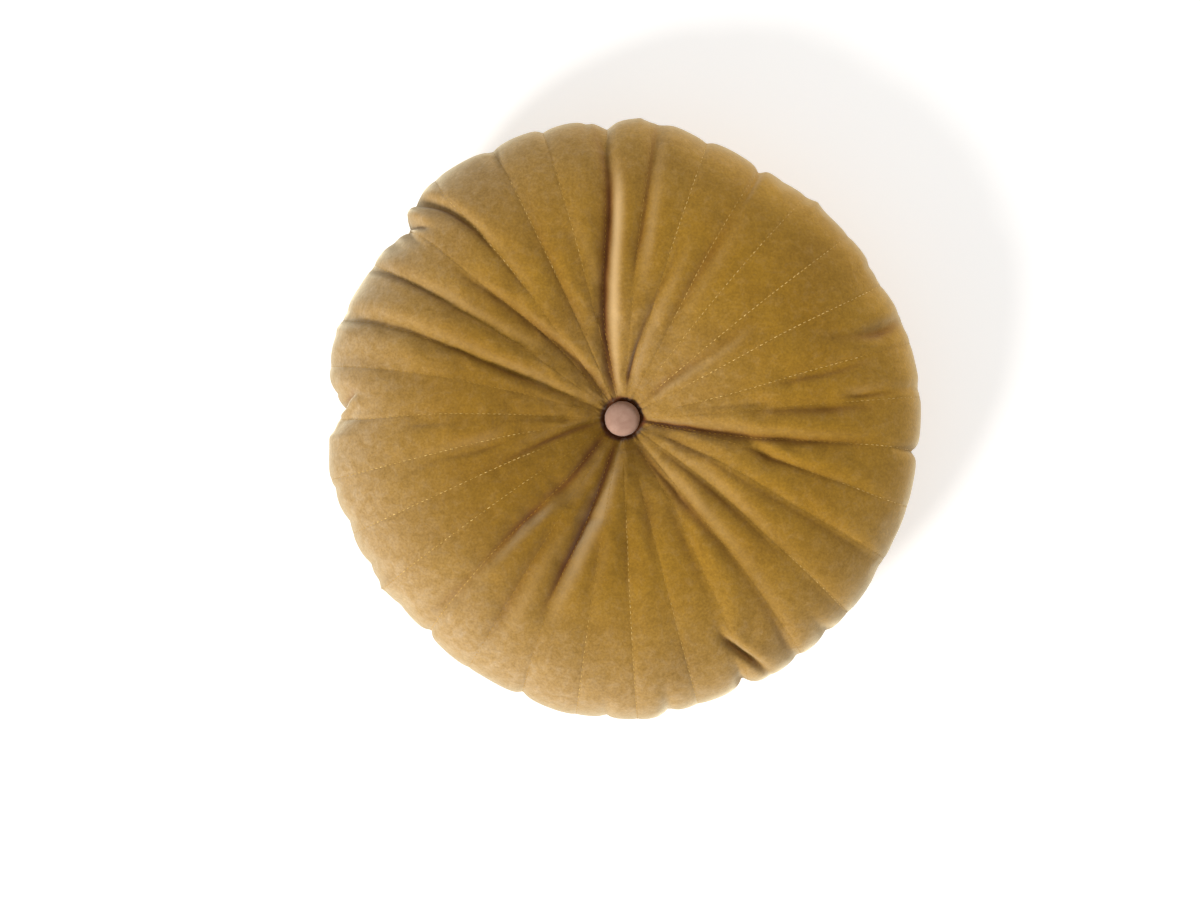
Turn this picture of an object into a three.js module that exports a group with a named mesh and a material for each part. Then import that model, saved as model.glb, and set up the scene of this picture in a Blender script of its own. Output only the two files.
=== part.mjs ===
// Round throw pillow of velvet, lying on its back: one filled solid, sewn in radial channels
// that run from the middle of the face over the rim to the middle of the back, with a covered
// button drawn into each side.
// Millimetres, +Z up. The origin is under the middle of the pillow's box, on the surface it rests on.
// +X and +Y are the right and the top of the face as seen from straight above.
import * as THREE from "three";

// ---- driving dimensions ------------------------------------------------------------------
const FACE_DIAMETER = 400; // mean diameter at the rim
const CROWN_HEIGHT = 106; // highest ring of the face above the resting surface
const RIM_HEIGHT = 50; // height of the widest ring
const BED_HEIGHT = 66; // floor of the face's drawn-in middle
const BACK_BED_HEIGHT = 31; // roof of the back's drawn-in middle
const BED_RADIUS = 12.9; // flat spot that a button is pulled against
const REST_INNER = 80; // the flat ring that the pillow rests on
const REST_OUTER = 146;
const BUTTON_DIAMETER = 24;
const BUTTON_THICKNESS = 8;
const PIECE_GAP = 0.3; // between a button and the cloth under it
const CHANNEL_STEPS = [0, 0.12, 0.31, 0.5, 0.69, 0.88]; // columns across one channel
const BUTTON_SIDES = 28;

const HALF = FACE_DIAMETER / 2;
const RAD = Math.PI / 180;

// ---- mean section, from the middle of the face to the middle of the back -------------------
// r, z: radius and height. puff: rise of a channel between its seams, for a fullness of 1. fill:
// rise that every channel has. dip: depth of the sewn line. sway: share of the outline's
// unevenness. nick: share of its nicks. crease: share of the folds.
const SECTION = [
  { r: BED_RADIUS, z: BED_HEIGHT, puff: 0, fill: 0, dip: 0, sway: 0, nick: 0, crease: 0 },
  { r: 15, z: 70.5, puff: 0.3, fill: 0, dip: 0.2, sway: 0, nick: 0, crease: 0.6 },
  { r: 25, z: 79, puff: 0.5, fill: 0.1, dip: 0.2, sway: 0, nick: 0, crease: 1 },
  { r: 44, z: 90, puff: 0.7, fill: 0.2, dip: 0.2, sway: 0.05, nick: 0, crease: 1 },
  { r: 70, z: 99.4, puff: 0.8, fill: 0.2, dip: 0.3, sway: 0.15, nick: 0, crease: 1 },
  { r: 98, z: 104.8, puff: 0.9, fill: 0.2, dip: 0.3, sway: 0.35, nick: 0, crease: 1 },
  { r: 122, z: CROWN_HEIGHT, puff: 0.9, fill: 0.3, dip: 0.3, sway: 0.55, nick: 0, crease: 1 },
  { r: 146, z: 103.6, puff: 1, fill: 0.4, dip: 0.4, sway: 0.75, nick: 0.03, crease: 1 },
  { r: 168, z: 97, puff: 1, fill: 0.6, dip: 0.5, sway: 0.9, nick: 0.2, crease: 1 },
  { r: 184, z: 86.6, puff: 1, fill: 0.8, dip: 0.6, sway: 1, nick: 0.6, crease: 0.95 },
  { r: 193, z: 76.5, puff: 0.8, fill: 0.8, dip: 0.6, sway: 1, nick: 0.9, crease: 0.8 },
  { r: 198.5, z: 63.5, puff: 0.6, fill: 0.8, dip: 0.6, sway: 1, nick: 1, crease: 0.7 },
  { r: HALF, z: RIM_HEIGHT, puff: 0.5, fill: 0.8, dip: 0.6, sway: 1, nick: 1, crease: 0.5 },
  { r: 196, z: 30, puff: 0.7, fill: 0.9, dip: 0.8, sway: 1, nick: 0.95, crease: 0.35 },
  { r: 184, z: 14, puff: 0.9, fill: 1, dip: 0.7, sway: 0.8, nick: 0.6, crease: 0.1 },
  { r: 167, z: 4, puff: 0.7, fill: 0.6, dip: 0.4, sway: 0.5, nick: 0.2, crease: 0 },
  { r: REST_OUTER, z: 0, puff: 0, fill: 0, dip: 0, sway: 0, nick: 0, crease: 0 },
  { r: REST_INNER, z: 0, puff: 0, fill: 0, dip: 0, sway: 0, nick: 0, crease: 0 },
  { r: 50, z: 7.5, puff: 0.6, fill: 0.5, dip: 0.4, sway: 0, nick: 0, crease: 0 },
  { r: 27, z: 19, puff: 0.5, fill: 0.4, dip: 0.4, sway: 0, nick: 0, crease: 0 },
  { r: 15, z: 27, puff: 0.3, fill: 0, dip: 0.2, sway: 0, nick: 0, crease: 0 },
  { r: BED_RADIUS, z: BACK_BED_HEIGHT, puff: 0, fill: 0, dip: 0, sway: 0, nick: 0, crease: 0 },
];

// ---- seams -----------------------------------------------------------------------------
// One row for each seam. a3, a6, a9, rim: its direction in degrees from +X at 0.3, 0.6 and 0.9
// of the face's radius and at the rim, because the seams wander. out: radius of the outline
// there, without its nicks. full: how full the channel after this seam is.
const SEAMS = [
  { a3: 3.5, a6: 4.2, a9: 4.2, rim: 4.2, out: 201.5, full: 0 },
  { a3: 12.3, a6: 14.2, a9: 14.6, rim: 14.7, out: 200.5, full: 1 },
  { a3: 27.3, a6: 28, a9: 27.2, rim: 27.2, out: 196.9, full: 1.7 },
  { a3: 40.5, a6: 39.9, a9: 39.1, rim: 38.9, out: 195.8, full: 0.4 },
  { a3: 53, a6: 52, a9: 50.8, rim: 50.3, out: 195.1, full: 0 },
  { a3: 62.5, a6: 62.8, a9: 61.8, rim: 61.1, out: 193.2, full: 1 },
  { a3: 74.7, a6: 73.9, a9: 73, rim: 72.9, out: 195.8, full: 0.9 },
  { a3: 84.7, a6: 84.8, a9: 83.9, rim: 84.6, out: 202, full: 0 },
  { a3: 101, a6: 95, a9: 93.8, rim: 92.8, out: 202.1, full: 0.5 },
  { a3: 104.6, a6: 104.7, a9: 105.3, rim: 105.6, out: 202.7, full: 0.7 },
  { a3: 114.4, a6: 115, a9: 115.3, rim: 116, out: 201.8, full: 0.9 },
  { a3: 126, a6: 126.7, a9: 128.3, rim: 128.3, out: 204.1, full: 0 },
  { a3: 131.5, a6: 136, a9: 137.6, rim: 138.9, out: 198.2, full: 0.7 },
  { a3: 144, a6: 145.8, a9: 147.5, rim: 148.2, out: 197.2, full: 0.6 },
  { a3: 155.8, a6: 157.3, a9: 159, rim: 161, out: 200, full: 0 },
  { a3: 166, a6: 167, a9: 169, rim: 170, out: 200.2, full: 0.8 },
  { a3: 177.8, a6: 178.5, a9: 180.3, rim: 180.2, out: 195.9, full: 0.2 },
  { a3: 188, a6: 190.5, a9: 191.8, rim: 191.8, out: 200.7, full: 0.4 },
  { a3: 200.5, a6: 202.3, a9: 203, rim: 203.1, out: 197.4, full: 0 },
  { a3: 212.8, a6: 214.1, a9: 215, rim: 215.6, out: 197.1, full: 0 },
  { a3: 227.5, a6: 225.8, a9: 227, rim: 227.9, out: 195, full: 0.7 },
  { a3: 237.5, a6: 237.9, a9: 238.3, rim: 238.3, out: 197, full: 0 },
  { a3: 251.5, a6: 248.5, a9: 249.4, rim: 250.1, out: 198.6, full: 0.7 },
  { a3: 260.5, a6: 260.3, a9: 261.1, rim: 261.1, out: 201.5, full: 0.1 },
  { a3: 272.2, a6: 272.3, a9: 272.7, rim: 273, out: 202.6, full: 1.4 },
  { a3: 284.7, a6: 284.6, a9: 284.8, rim: 285, out: 199, full: 0 },
  { a3: 300, a6: 297.5, a9: 296.6, rim: 295.5, out: 200.1, full: 0 },
  { a3: 308.5, a6: 308.9, a9: 307.8, rim: 307.2, out: 200.1, full: 0.4 },
  { a3: 324, a6: 321, a9: 319.7, rim: 319.2, out: 200.4, full: 0.9 },
  { a3: 337, a6: 333.5, a9: 332.3, rim: 331.9, out: 199.8, full: 0 },
  { a3: 348.4, a6: 344.4, a9: 342.8, rim: 342.8, out: 201.2, full: 0 },
  { a3: 350.6, a6: 353.2, a9: 354.2, rim: 353.6, out: 200.8, full: 0 },
];

// ---- nicks -----------------------------------------------------------------------------
// Places where the outline is drawn in, or swells a little. at: direction in degrees. deep:
// depth, below 0 for a swell. low, high: half widths in degrees on the side of the smaller and
// of the larger angles.
const NICKS = [
  { at: 93, deep: 6.6, low: 1.9, high: 2.8 },
  { at: 105.5, deep: 2.4, low: 2.8, high: 1.8 },
  { at: 115.5, deep: 2.5, low: 1.8, high: 2 },
  { at: 139, deep: 7.2, low: 1.8, high: 3.6 },
  { at: 142.5, deep: 2.1, low: 1.8, high: 2 },
  { at: 178, deep: 8.6, low: 3.8, high: 3.6 },
  { at: 210, deep: 2.7, low: 1.8, high: 2.6 },
  { at: 250, deep: 2.1, low: 1.8, high: 1.8 },
  { at: 279, deep: 1.9, low: 1.8, high: 1.8 },
  { at: 295, deep: 6.6, low: 2.7, high: 1.8 },
  { at: 314, deep: 2, low: 1.8, high: 1.8 },
  { at: 353.5, deep: 2.7, low: 1.8, high: 1.8 },
];

// ---- folds -----------------------------------------------------------------------------
// Creases that the button's pull and the filling leave in the face. start, end: reach along the
// face, in radii, past 1 over the rim. b0..b3: direction in degrees at the start, at a third, at
// two thirds and at the end. d0..d3: depth of the valley there. near, far: half widths of the
// valley on the side of its roll and on the other side. lip: height of the roll. side: +1 where
// the roll lies counterclockwise of the valley, -1 clockwise.
const FOLDS = [
  { start: 0.05, end: 0.98, b0: 107.6, b1: 100, b2: 94.3, b3: 96.1, d0: 7.5, d1: 9.5, d2: 10.5, d3: 2.6, near: 6.8, far: 8.3, lip: 0, side: -1 },
  { start: 0.08, end: 0.68, b0: 82.7, b1: 79.1, b2: 73.9, b3: 73.4, d0: 11, d1: 5.1, d2: 2.7, d3: 0.4, near: 6.2, far: 3.5, lip: 1.4, side: -1 },
  { start: 0.36, end: 1.02, b0: 88.4, b1: 85, b2: 84.2, b3: 83, d0: 0, d1: 5.7, d2: 5.9, d3: 2.2, near: 6.6, far: 4.8, lip: 0.6, side: -1 },
  { start: 0.4, end: 0.66, b0: 106.7, b1: 106.3, b2: 106.5, b3: 107.8, d0: 7.7, d1: 1.5, d2: 1.3, d3: 1.8, near: 7.9, far: 5.1, lip: 0, side: -1 },
  { start: 0.46, end: 1.05, b0: 127.4, b1: 128.1, b2: 130.3, b3: 136.2, d0: 3.2, d1: 2, d2: 5.4, d3: 8, near: 5.2, far: 3.4, lip: 0.6, side: -1 },
  { start: 0.86, end: 1.06, b0: 136.2, b1: 137.5, b2: 139, b3: 139.4, d0: 2, d1: 6.5, d2: 7.5, d3: 6, near: 4.6, far: 4.6, lip: 1.2, side: -1 },
  { start: 0.08, end: 0.74, b0: 123, b1: 131.2, b2: 136.2, b3: 139.1, d0: 4.4, d1: 4.8, d2: 4.2, d3: 2.8, near: 5, far: 8.5, lip: 0, side: -1 },
  { start: 0.36, end: 1, b0: 142.8, b1: 147.4, b2: 147.8, b3: 150, d0: 0.2, d1: 2, d2: 3.8, d3: 2.8, near: 6.3, far: 3.4, lip: 0.4, side: -1 },
  { start: 0.06, end: 1.02, b0: 159.2, b1: 159.3, b2: 158.1, b3: 161.4, d0: 1.7, d1: 5, d2: 3.9, d3: 2.2, near: 6.1, far: 3.4, lip: 2.3, side: -1 },
  { start: 0.87, end: 1.07, b0: 173.7, b1: 174.4, b2: 177.8, b3: 177.7, d0: 5.7, d1: 8.5, d2: 8, d3: 7, near: 4.6, far: 4.6, lip: 3.5, side: 1 },
  { start: 0.06, end: 0.6, b0: 190, b1: 197.5, b2: 200.9, b3: 200.5, d0: 6.4, d1: 7, d2: 3.1, d3: 0.2, near: 7.6, far: 4.4, lip: 0, side: -1 },
  { start: 0.05, end: 0.36, b0: 220.9, b1: 226.5, b2: 228.3, b3: 225, d0: 8.5, d1: 8.7, d2: 7.7, d3: 7.8, near: 9, far: 7.4, lip: 3.6, side: 1 },
  { start: 0.32, end: 0.9, b0: 227.2, b1: 225.6, b2: 225.9, b3: 225.2, d0: 8.8, d1: 7.7, d2: 2.8, d3: 3.7, near: 5.6, far: 6.3, lip: 2, side: 1 },
  { start: 0.36, end: 0.94, b0: 238, b1: 237.1, b2: 237.9, b3: 237.5, d0: 2.4, d1: 3, d2: 4, d3: 0, near: 8.8, far: 8.3, lip: 0, side: 1 },
  { start: 0.05, end: 0.76, b0: 253.7, b1: 250.4, b2: 247.9, b3: 247.1, d0: 6.3, d1: 12.5, d2: 9.7, d3: 0, near: 7.8, far: 6, lip: 2.6, side: 1 },
  { start: 0.06, end: 0.97, b0: 296.6, b1: 304.2, b2: 306.6, b3: 305, d0: 4.2, d1: 5.4, d2: 2.2, d3: 3.4, near: 7.8, far: 7.7, lip: 0.8, side: 1 },
  { start: 0.1, end: 0.97, b0: 317.8, b1: 319.5, b2: 318.4, b3: 318, d0: 2.5, d1: 5.2, d2: 1.3, d3: 1.2, near: 7.5, far: 5.5, lip: 2, side: 1 },
  { start: 0.74, end: 0.98, b0: 293.8, b1: 294.7, b2: 297.4, b3: 299.8, d0: 3.8, d1: 5.2, d2: 8, d3: 4.2, near: 4.6, far: 4.6, lip: 1.4, side: 1 },
  { start: 0.93, end: 1.05, b0: 293.6, b1: 293.9, b2: 294.2, b3: 294.6, d0: 2, d1: 3.4, d2: 4, d3: 4, near: 4.6, far: 4.6, lip: 0.8, side: 1 },
  { start: 0.39, end: 0.94, b0: 346.2, b1: 343.6, b2: 343, b3: 340.4, d0: 8.8, d1: 3.6, d2: 2.2, d3: 0.4, near: 4.9, far: 5.4, lip: 1.6, side: 1 },
  { start: 0.04, end: 0.84, b0: 352.8, b1: 350.8, b2: 352.2, b3: 353.8, d0: 11.6, d1: 7.4, d2: 6, d3: 2, near: 5.6, far: 6, lip: 1.6, side: 1 },
  { start: 0.34, end: 0.84, b0: 3.5, b1: 2, b2: 1.9, b3: 2.4, d0: 0, d1: 3.9, d2: 5.9, d3: 2.4, near: 9, far: 5.9, lip: 0.6, side: 1 },
  { start: 0.7, end: 1.02, b0: 5.7, b1: 4.9, b2: 5.2, b3: 5, d0: 7.2, d1: 4.1, d2: 2.1, d3: 3.2, near: 4.8, far: 4.6, lip: 0.5, side: 1 },
  { start: 0.46, end: 0.88, b0: 11.7, b1: 11.7, b2: 11.9, b3: 13.6, d0: 2.4, d1: 4.3, d2: 4.1, d3: 0.8, near: 8.2, far: 4.7, lip: 2.1, side: 1 },
  { start: 0.68, end: 1.03, b0: 22.5, b1: 19.3, b2: 17.9, b3: 20.1, d0: 3.9, d1: 3.3, d2: 8.2, d3: 4, near: 6.9, far: 6.9, lip: 0, side: 1 },
  { start: 0.08, end: 0.5, b0: 39, b1: 40.3, b2: 38.2, b3: 38.1, d0: 4.6, d1: 4.6, d2: 2.4, d3: 2.5, near: 5, far: 6.9, lip: 0.9, side: -1 },
  { start: 0.22, end: 0.84, b0: 64.8, b1: 64.2, b2: 62.4, b3: 62.4, d0: 0, d1: 3.8, d2: 4.9, d3: 1.6, near: 7.8, far: 8.4, lip: 1.7, side: -1 },
];
const FOLD_FADE = 0.12; // reach over which a fold starts and ends
const FOLD_SHIFT = 2; // from a fold's line to the bottom of its valley
const FULL_WIDTH_RADIUS = 66; // inside this radius the folds narrow towards the middle

// ---- the cushion -----------------------------------------------------------------------
const clamp = (a, b, x) => Math.min(b, Math.max(a, x));
const smooth = (a, b, x) => {
  const t = clamp(0, 1, (x - a) / (b - a));
  return t * t * (3 - 2 * t);
};
const bell = (x) => Math.exp(-x * x);
const turnFrom = (angle, from) => {
  const off = angle - from;
  return off - 360 * Math.round(off / 360);
};

// Direction of seam i, in degrees, at a reach along the face.
function seamAngle(i, reach) {
  const s = SEAMS[i % SEAMS.length];
  const turn = 360 * Math.floor(i / SEAMS.length);
  const stops = [
    { reach: 0.3, angle: s.a3 },
    { reach: 0.6, angle: s.a6 },
    { reach: 0.9, angle: s.a9 },
    { reach: 1, angle: s.rim },
  ];
  if (reach <= stops[0].reach) return turn + s.a3;
  for (let k = 1; k < stops.length; k++) {
    const a = stops[k - 1];
    const b = stops[k];
    if (reach <= b.reach)
      return turn + a.angle + ((b.angle - a.angle) * (reach - a.reach)) / (b.reach - a.reach);
  }
  return turn + s.rim;
}

// Direction of a fold at a share t of its length: the cubic through its four stations.
function foldAngle(f, t) {
  const u = 3 * t;
  return (
    (-f.b0 * (u - 1) * (u - 2) * (u - 3)) / 6 +
    (f.b1 * u * (u - 2) * (u - 3)) / 2 -
    (f.b2 * u * (u - 1) * (u - 3)) / 2 +
    (f.b3 * u * (u - 1) * (u - 2)) / 6
  );
}

// Depth of a fold at a share t of its length, straight between its four stations.
function foldDepth(f, t) {
  const depths = [f.d0, f.d1, f.d2, f.d3];
  const k = Math.min(2, Math.floor(3 * t));
  return depths[k] + (depths[k + 1] - depths[k]) * (3 * t - k);
}

// Rise (+) or fall (-) of the face at a direction and reach, from all folds.
function foldRise(angle, reach, radius) {
  const tight = clamp(0.3, 1, radius / FULL_WIDTH_RADIUS) ** 0.6;
  let rise = 0;
  for (const f of FOLDS) {
    const fadeIn = Math.min(FOLD_FADE, 0.03 + 0.6 * f.start);
    const share =
      smooth(f.start, f.start + fadeIn, reach) *
      (1 - smooth(f.end - 0.6 * FOLD_FADE, f.end + 0.6 * FOLD_FADE, reach));
    if (share <= 0) continue;
    const t = clamp(0, 1, (reach - f.start) / (f.end - f.start));
    const across =
      turnFrom(angle, foldAngle(f, t)) * RAD * radius * f.side - FOLD_SHIFT * tight;
    const near = f.near * tight;
    const deep = share * foldDepth(f, t) * tight;
    const valley =
      across > 0 ? bell(across / near) : Math.exp(-(Math.abs(across / (f.far * tight)) ** 1.3));
    rise -= deep * valley;
    rise += (deep / Math.max(f.d1, f.d2)) * f.lip * bell((across - 2.1 * near) / (1.3 * near));
  }
  return rise;
}

// How far the outline is drawn in at a direction.
function nickDepth(angle) {
  let depth = 0;
  for (const n of NICKS) {
    const off = turnFrom(angle, n.at);
    depth += n.deep * Math.exp(-(Math.abs(off / (off < 0 ? n.low : n.high)) ** 1.3));
  }
  return depth;
}

// Reach of each row: radius over the face, then the length along the section past the rim.
const rimRow = SECTION.findIndex((row) => row.r === HALF);
const reaches = SECTION.map((row, k) => {
  if (k <= rimRow) return row.r / HALF;
  let length = 0;
  for (let j = rimRow + 1; j <= k; j++)
    length += Math.hypot(
      SECTION[j].r - SECTION[j - 1].r,
      SECTION[j].z - SECTION[j - 1].z,
    );
  return 1 + length / HALF;
});

// Outward normal of the mean section at row k, in the (r, z) plane.
function sectionNormal(k) {
  const a = SECTION[Math.max(0, k - 1)];
  const b = SECTION[Math.min(SECTION.length - 1, k + 1)];
  const dr = b.r - a.r;
  const dz = b.z - a.z;
  const n = Math.hypot(dr, dz);
  return [-dz / n, dr / n];
}

function cushionGeometry() {
  const points = [];
  const rows = SECTION.length;
  const columns = SEAMS.length * CHANNEL_STEPS.length;
  for (let k = 0; k < rows; k++) {
    const row = SECTION[k];
    const [nr, nz] = sectionNormal(k);
    for (let i = 0; i < SEAMS.length; i++) {
      const a0 = seamAngle(i, reaches[k]);
      const a1 = seamAngle(i + 1, reaches[k]);
      const here = SEAMS[i];
      const next = SEAMS[(i + 1) % SEAMS.length];
      for (const step of CHANNEL_STEPS) {
        const angle = a0 + (a1 - a0) * step;
        const outline = here.out + (next.out - here.out) * smooth(0, 1, step);
        const arch = Math.sin(Math.PI * step) ** 0.8;
        const rise =
          (row.puff * here.full + row.fill) * arch -
          (step === 0 ? row.dip : 0) +
          row.crease * foldRise(angle, reaches[k], row.r);
        const r =
          row.r + row.sway * (outline - HALF) - row.nick * nickDepth(angle) + nr * rise;
        const z = row.z === 0 ? 0 : Math.max(0.6, row.z + nz * rise);
        points.push(r * Math.cos(angle * RAD), r * Math.sin(angle * RAD), z);
      }
    }
  }
  const top = points.length / 3;
  points.push(0, 0, BED_HEIGHT);
  const bottom = points.length / 3;
  points.push(0, 0, BACK_BED_HEIGHT);

  const faces = [];
  for (let j = 0; j < columns; j++) {
    const n = (j + 1) % columns;
    faces.push(top, j, n);
    for (let k = 0; k < rows - 1; k++) {
      const a = k * columns + j;
      const b = k * columns + n;
      const c = (k + 1) * columns + j;
      const d = (k + 1) * columns + n;
      // The diagonal turns over at mid channel, so both halves of a channel are cut alike.
      if (j % CHANNEL_STEPS.length < CHANNEL_STEPS.length / 2)
        faces.push(a, c, d, a, d, b);
      else faces.push(a, c, b, b, c, d);
    }
    faces.push(bottom, (rows - 1) * columns + n, (rows - 1) * columns + j);
  }
  const geometry = new THREE.BufferGeometry();
  geometry.setAttribute("position", new THREE.Float32BufferAttribute(points, 3));
  geometry.setIndex(faces);
  geometry.computeVertexNormals();
  return geometry;
}

// ---- the covered buttons ---------------------------------------------------------------
// Section of a covered button from the middle of its back to the middle of its dome, as shares
// of its radius and thickness.
const BUTTON_SECTION = [
  { r: 0, h: 0 },
  { r: 0.72, h: 0 },
  { r: 0.93, h: 0.14 },
  { r: 1, h: 0.38 },
  { r: 0.93, h: 0.64 },
  { r: 0.72, h: 0.85 },
  { r: 0.4, h: 0.96 },
  { r: 0, h: 1 },
];

function buttonGeometry() {
  const profile = BUTTON_SECTION.map(
    (p) => new THREE.Vector2((p.r * BUTTON_DIAMETER) / 2, p.h * BUTTON_THICKNESS),
  );
  return new THREE.LatheGeometry(profile, BUTTON_SIDES);
}

// ---- assembly --------------------------------------------------------------------------
const velvet = new THREE.MeshStandardMaterial({ color: 0xa07a30, roughness: 0.9, metalness: 0 });
const linen = new THREE.MeshStandardMaterial({ color: 0xb48c78, roughness: 0.85, metalness: 0 });

const cushion = new THREE.Mesh(cushionGeometry(), velvet);
cushion.name = "cushion";

const frontButton = new THREE.Mesh(buttonGeometry(), linen);
frontButton.name = "front_button";
frontButton.position.z = BED_HEIGHT + PIECE_GAP;
frontButton.rotation.x = Math.PI / 2;

const backButton = new THREE.Mesh(buttonGeometry(), linen.clone());
backButton.name = "back_button";
backButton.position.z = BACK_BED_HEIGHT - PIECE_GAP;
backButton.rotation.x = -Math.PI / 2;

// The buttons sit on the face's own middle. The outline is uneven, so the middle of its box is
// a little to one side, and everything is moved together to put the origin there.
const throwPillow = new THREE.Group();
const assembly = new THREE.Group();
assembly.add(cushion, frontButton, backButton);
cushion.geometry.computeBoundingBox();
const middle = cushion.geometry.boundingBox.getCenter(new THREE.Vector3());
assembly.position.set(-middle.x, -middle.y, -cushion.geometry.boundingBox.min.z);
throwPillow.add(assembly);

export default throwPillow;
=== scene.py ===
import math

import bpy
import numpy as np
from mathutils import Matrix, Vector, noise


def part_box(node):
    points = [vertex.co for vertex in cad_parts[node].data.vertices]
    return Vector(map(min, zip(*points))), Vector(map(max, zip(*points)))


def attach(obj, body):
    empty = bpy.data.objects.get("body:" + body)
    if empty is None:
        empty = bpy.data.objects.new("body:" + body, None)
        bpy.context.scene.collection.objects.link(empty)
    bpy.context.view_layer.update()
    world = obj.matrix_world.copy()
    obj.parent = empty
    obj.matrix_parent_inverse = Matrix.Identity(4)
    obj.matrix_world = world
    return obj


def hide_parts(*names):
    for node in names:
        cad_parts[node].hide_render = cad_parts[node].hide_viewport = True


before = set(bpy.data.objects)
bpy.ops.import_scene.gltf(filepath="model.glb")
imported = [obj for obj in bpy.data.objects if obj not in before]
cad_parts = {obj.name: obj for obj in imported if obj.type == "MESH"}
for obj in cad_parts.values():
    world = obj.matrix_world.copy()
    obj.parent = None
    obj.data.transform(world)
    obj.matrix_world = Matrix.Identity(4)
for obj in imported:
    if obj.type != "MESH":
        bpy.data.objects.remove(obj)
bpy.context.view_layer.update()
scene = bpy.context.scene
MM = 0.001

# ------------------------------------------------------------------------------------------
# Tables
# ------------------------------------------------------------------------------------------
HALF = 200.0  # mean radius of the face at the rim
BED_R = 12.9  # flat spot under a button
REST_INNER, REST_OUTER = 80.0, 146.0

# Mean section from the middle of the face to the middle of the back.
# r, z: radius and height; puff: rise of a channel between its seams; groove: depth of the sewn
# line; sway: share of the outline's unevenness; nick: share of its nicks; crease: share of the
# folds; lump: uneven filling.
SECTION = [
    dict(r=0.0, z=66.0, puff=0.0, groove=0.0, sway=0.0, nick=0.0, crease=0.0, lump=0.0),
    dict(r=BED_R, z=66.0, puff=0.0, groove=0.0, sway=0.0, nick=0.0, crease=0.0, lump=0.0),
    dict(r=15.0, z=70.5, puff=0.3, groove=0.2, sway=0.0, nick=0.0, crease=0.7, lump=0.1),
    dict(r=25.0, z=79.0, puff=0.5, groove=0.12, sway=0.0, nick=0.0, crease=1.0, lump=0.3),
    dict(r=44.0, z=90.0, puff=0.7, groove=0.12, sway=0.05, nick=0.0, crease=1.0, lump=0.5),
    dict(r=70.0, z=99.4, puff=0.8, groove=0.14, sway=0.15, nick=0.0, crease=1.0, lump=0.8),
    dict(r=98.0, z=104.8, puff=0.9, groove=0.14, sway=0.35, nick=0.0, crease=1.0, lump=1.0),
    dict(r=122.0, z=106.0, puff=0.9, groove=0.14, sway=0.55, nick=0.0, crease=1.0, lump=1.0),
    dict(r=146.0, z=104.0, puff=1.0, groove=0.3, sway=0.75, nick=0.03, crease=1.0, lump=1.0),
    dict(r=160.0, z=100.6, puff=1.0, groove=0.35, sway=0.85, nick=0.1, crease=1.0, lump=1.0),
    dict(r=172.0, z=95.6, puff=1.0, groove=0.4, sway=0.95, nick=0.25, crease=1.0, lump=1.0),
    dict(r=184.0, z=87.6, puff=1.0, groove=0.3, sway=1.0, nick=0.6, crease=0.95, lump=0.9),
    dict(r=193.0, z=77.0, puff=0.8, groove=0.25, sway=1.0, nick=0.9, crease=0.8, lump=0.8),
    dict(r=198.5, z=64.0, puff=0.6, groove=0.25, sway=1.0, nick=0.98, crease=0.7, lump=0.6),
    dict(r=HALF, z=50.0, puff=0.5, groove=0.3, sway=1.0, nick=1.0, crease=0.5, lump=0.4),
    dict(r=196.0, z=30.0, puff=0.7, groove=0.8, sway=1.0, nick=0.95, crease=0.35, lump=0.5),
    dict(r=184.0, z=14.0, puff=0.9, groove=0.7, sway=0.8, nick=0.6, crease=0.1, lump=0.6),
    dict(r=167.0, z=4.0, puff=0.7, groove=0.6, sway=0.5, nick=0.2, crease=0.0, lump=0.3),
    dict(r=REST_OUTER, z=0.0, puff=0.0, groove=0.4, sway=0.0, nick=0.0, crease=0.0, lump=0.0),
    dict(r=REST_INNER, z=0.0, puff=0.0, groove=0.4, sway=0.0, nick=0.0, crease=0.0, lump=0.0),
    dict(r=50.0, z=7.5, puff=0.6, groove=0.4, sway=0.0, nick=0.0, crease=0.0, lump=0.4),
    dict(r=27.0, z=19.0, puff=0.5, groove=0.4, sway=0.0, nick=0.0, crease=0.0, lump=0.2),
    dict(r=15.0, z=27.0, puff=0.3, groove=0.4, sway=0.0, nick=0.0, crease=0.0, lump=0.0),
    dict(r=BED_R, z=31.0, puff=0.0, groove=0.0, sway=0.0, nick=0.0, crease=0.0, lump=0.0),
    dict(r=0.0, z=31.0, puff=0.0, groove=0.0, sway=0.0, nick=0.0, crease=0.0, lump=0.0),
]

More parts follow.
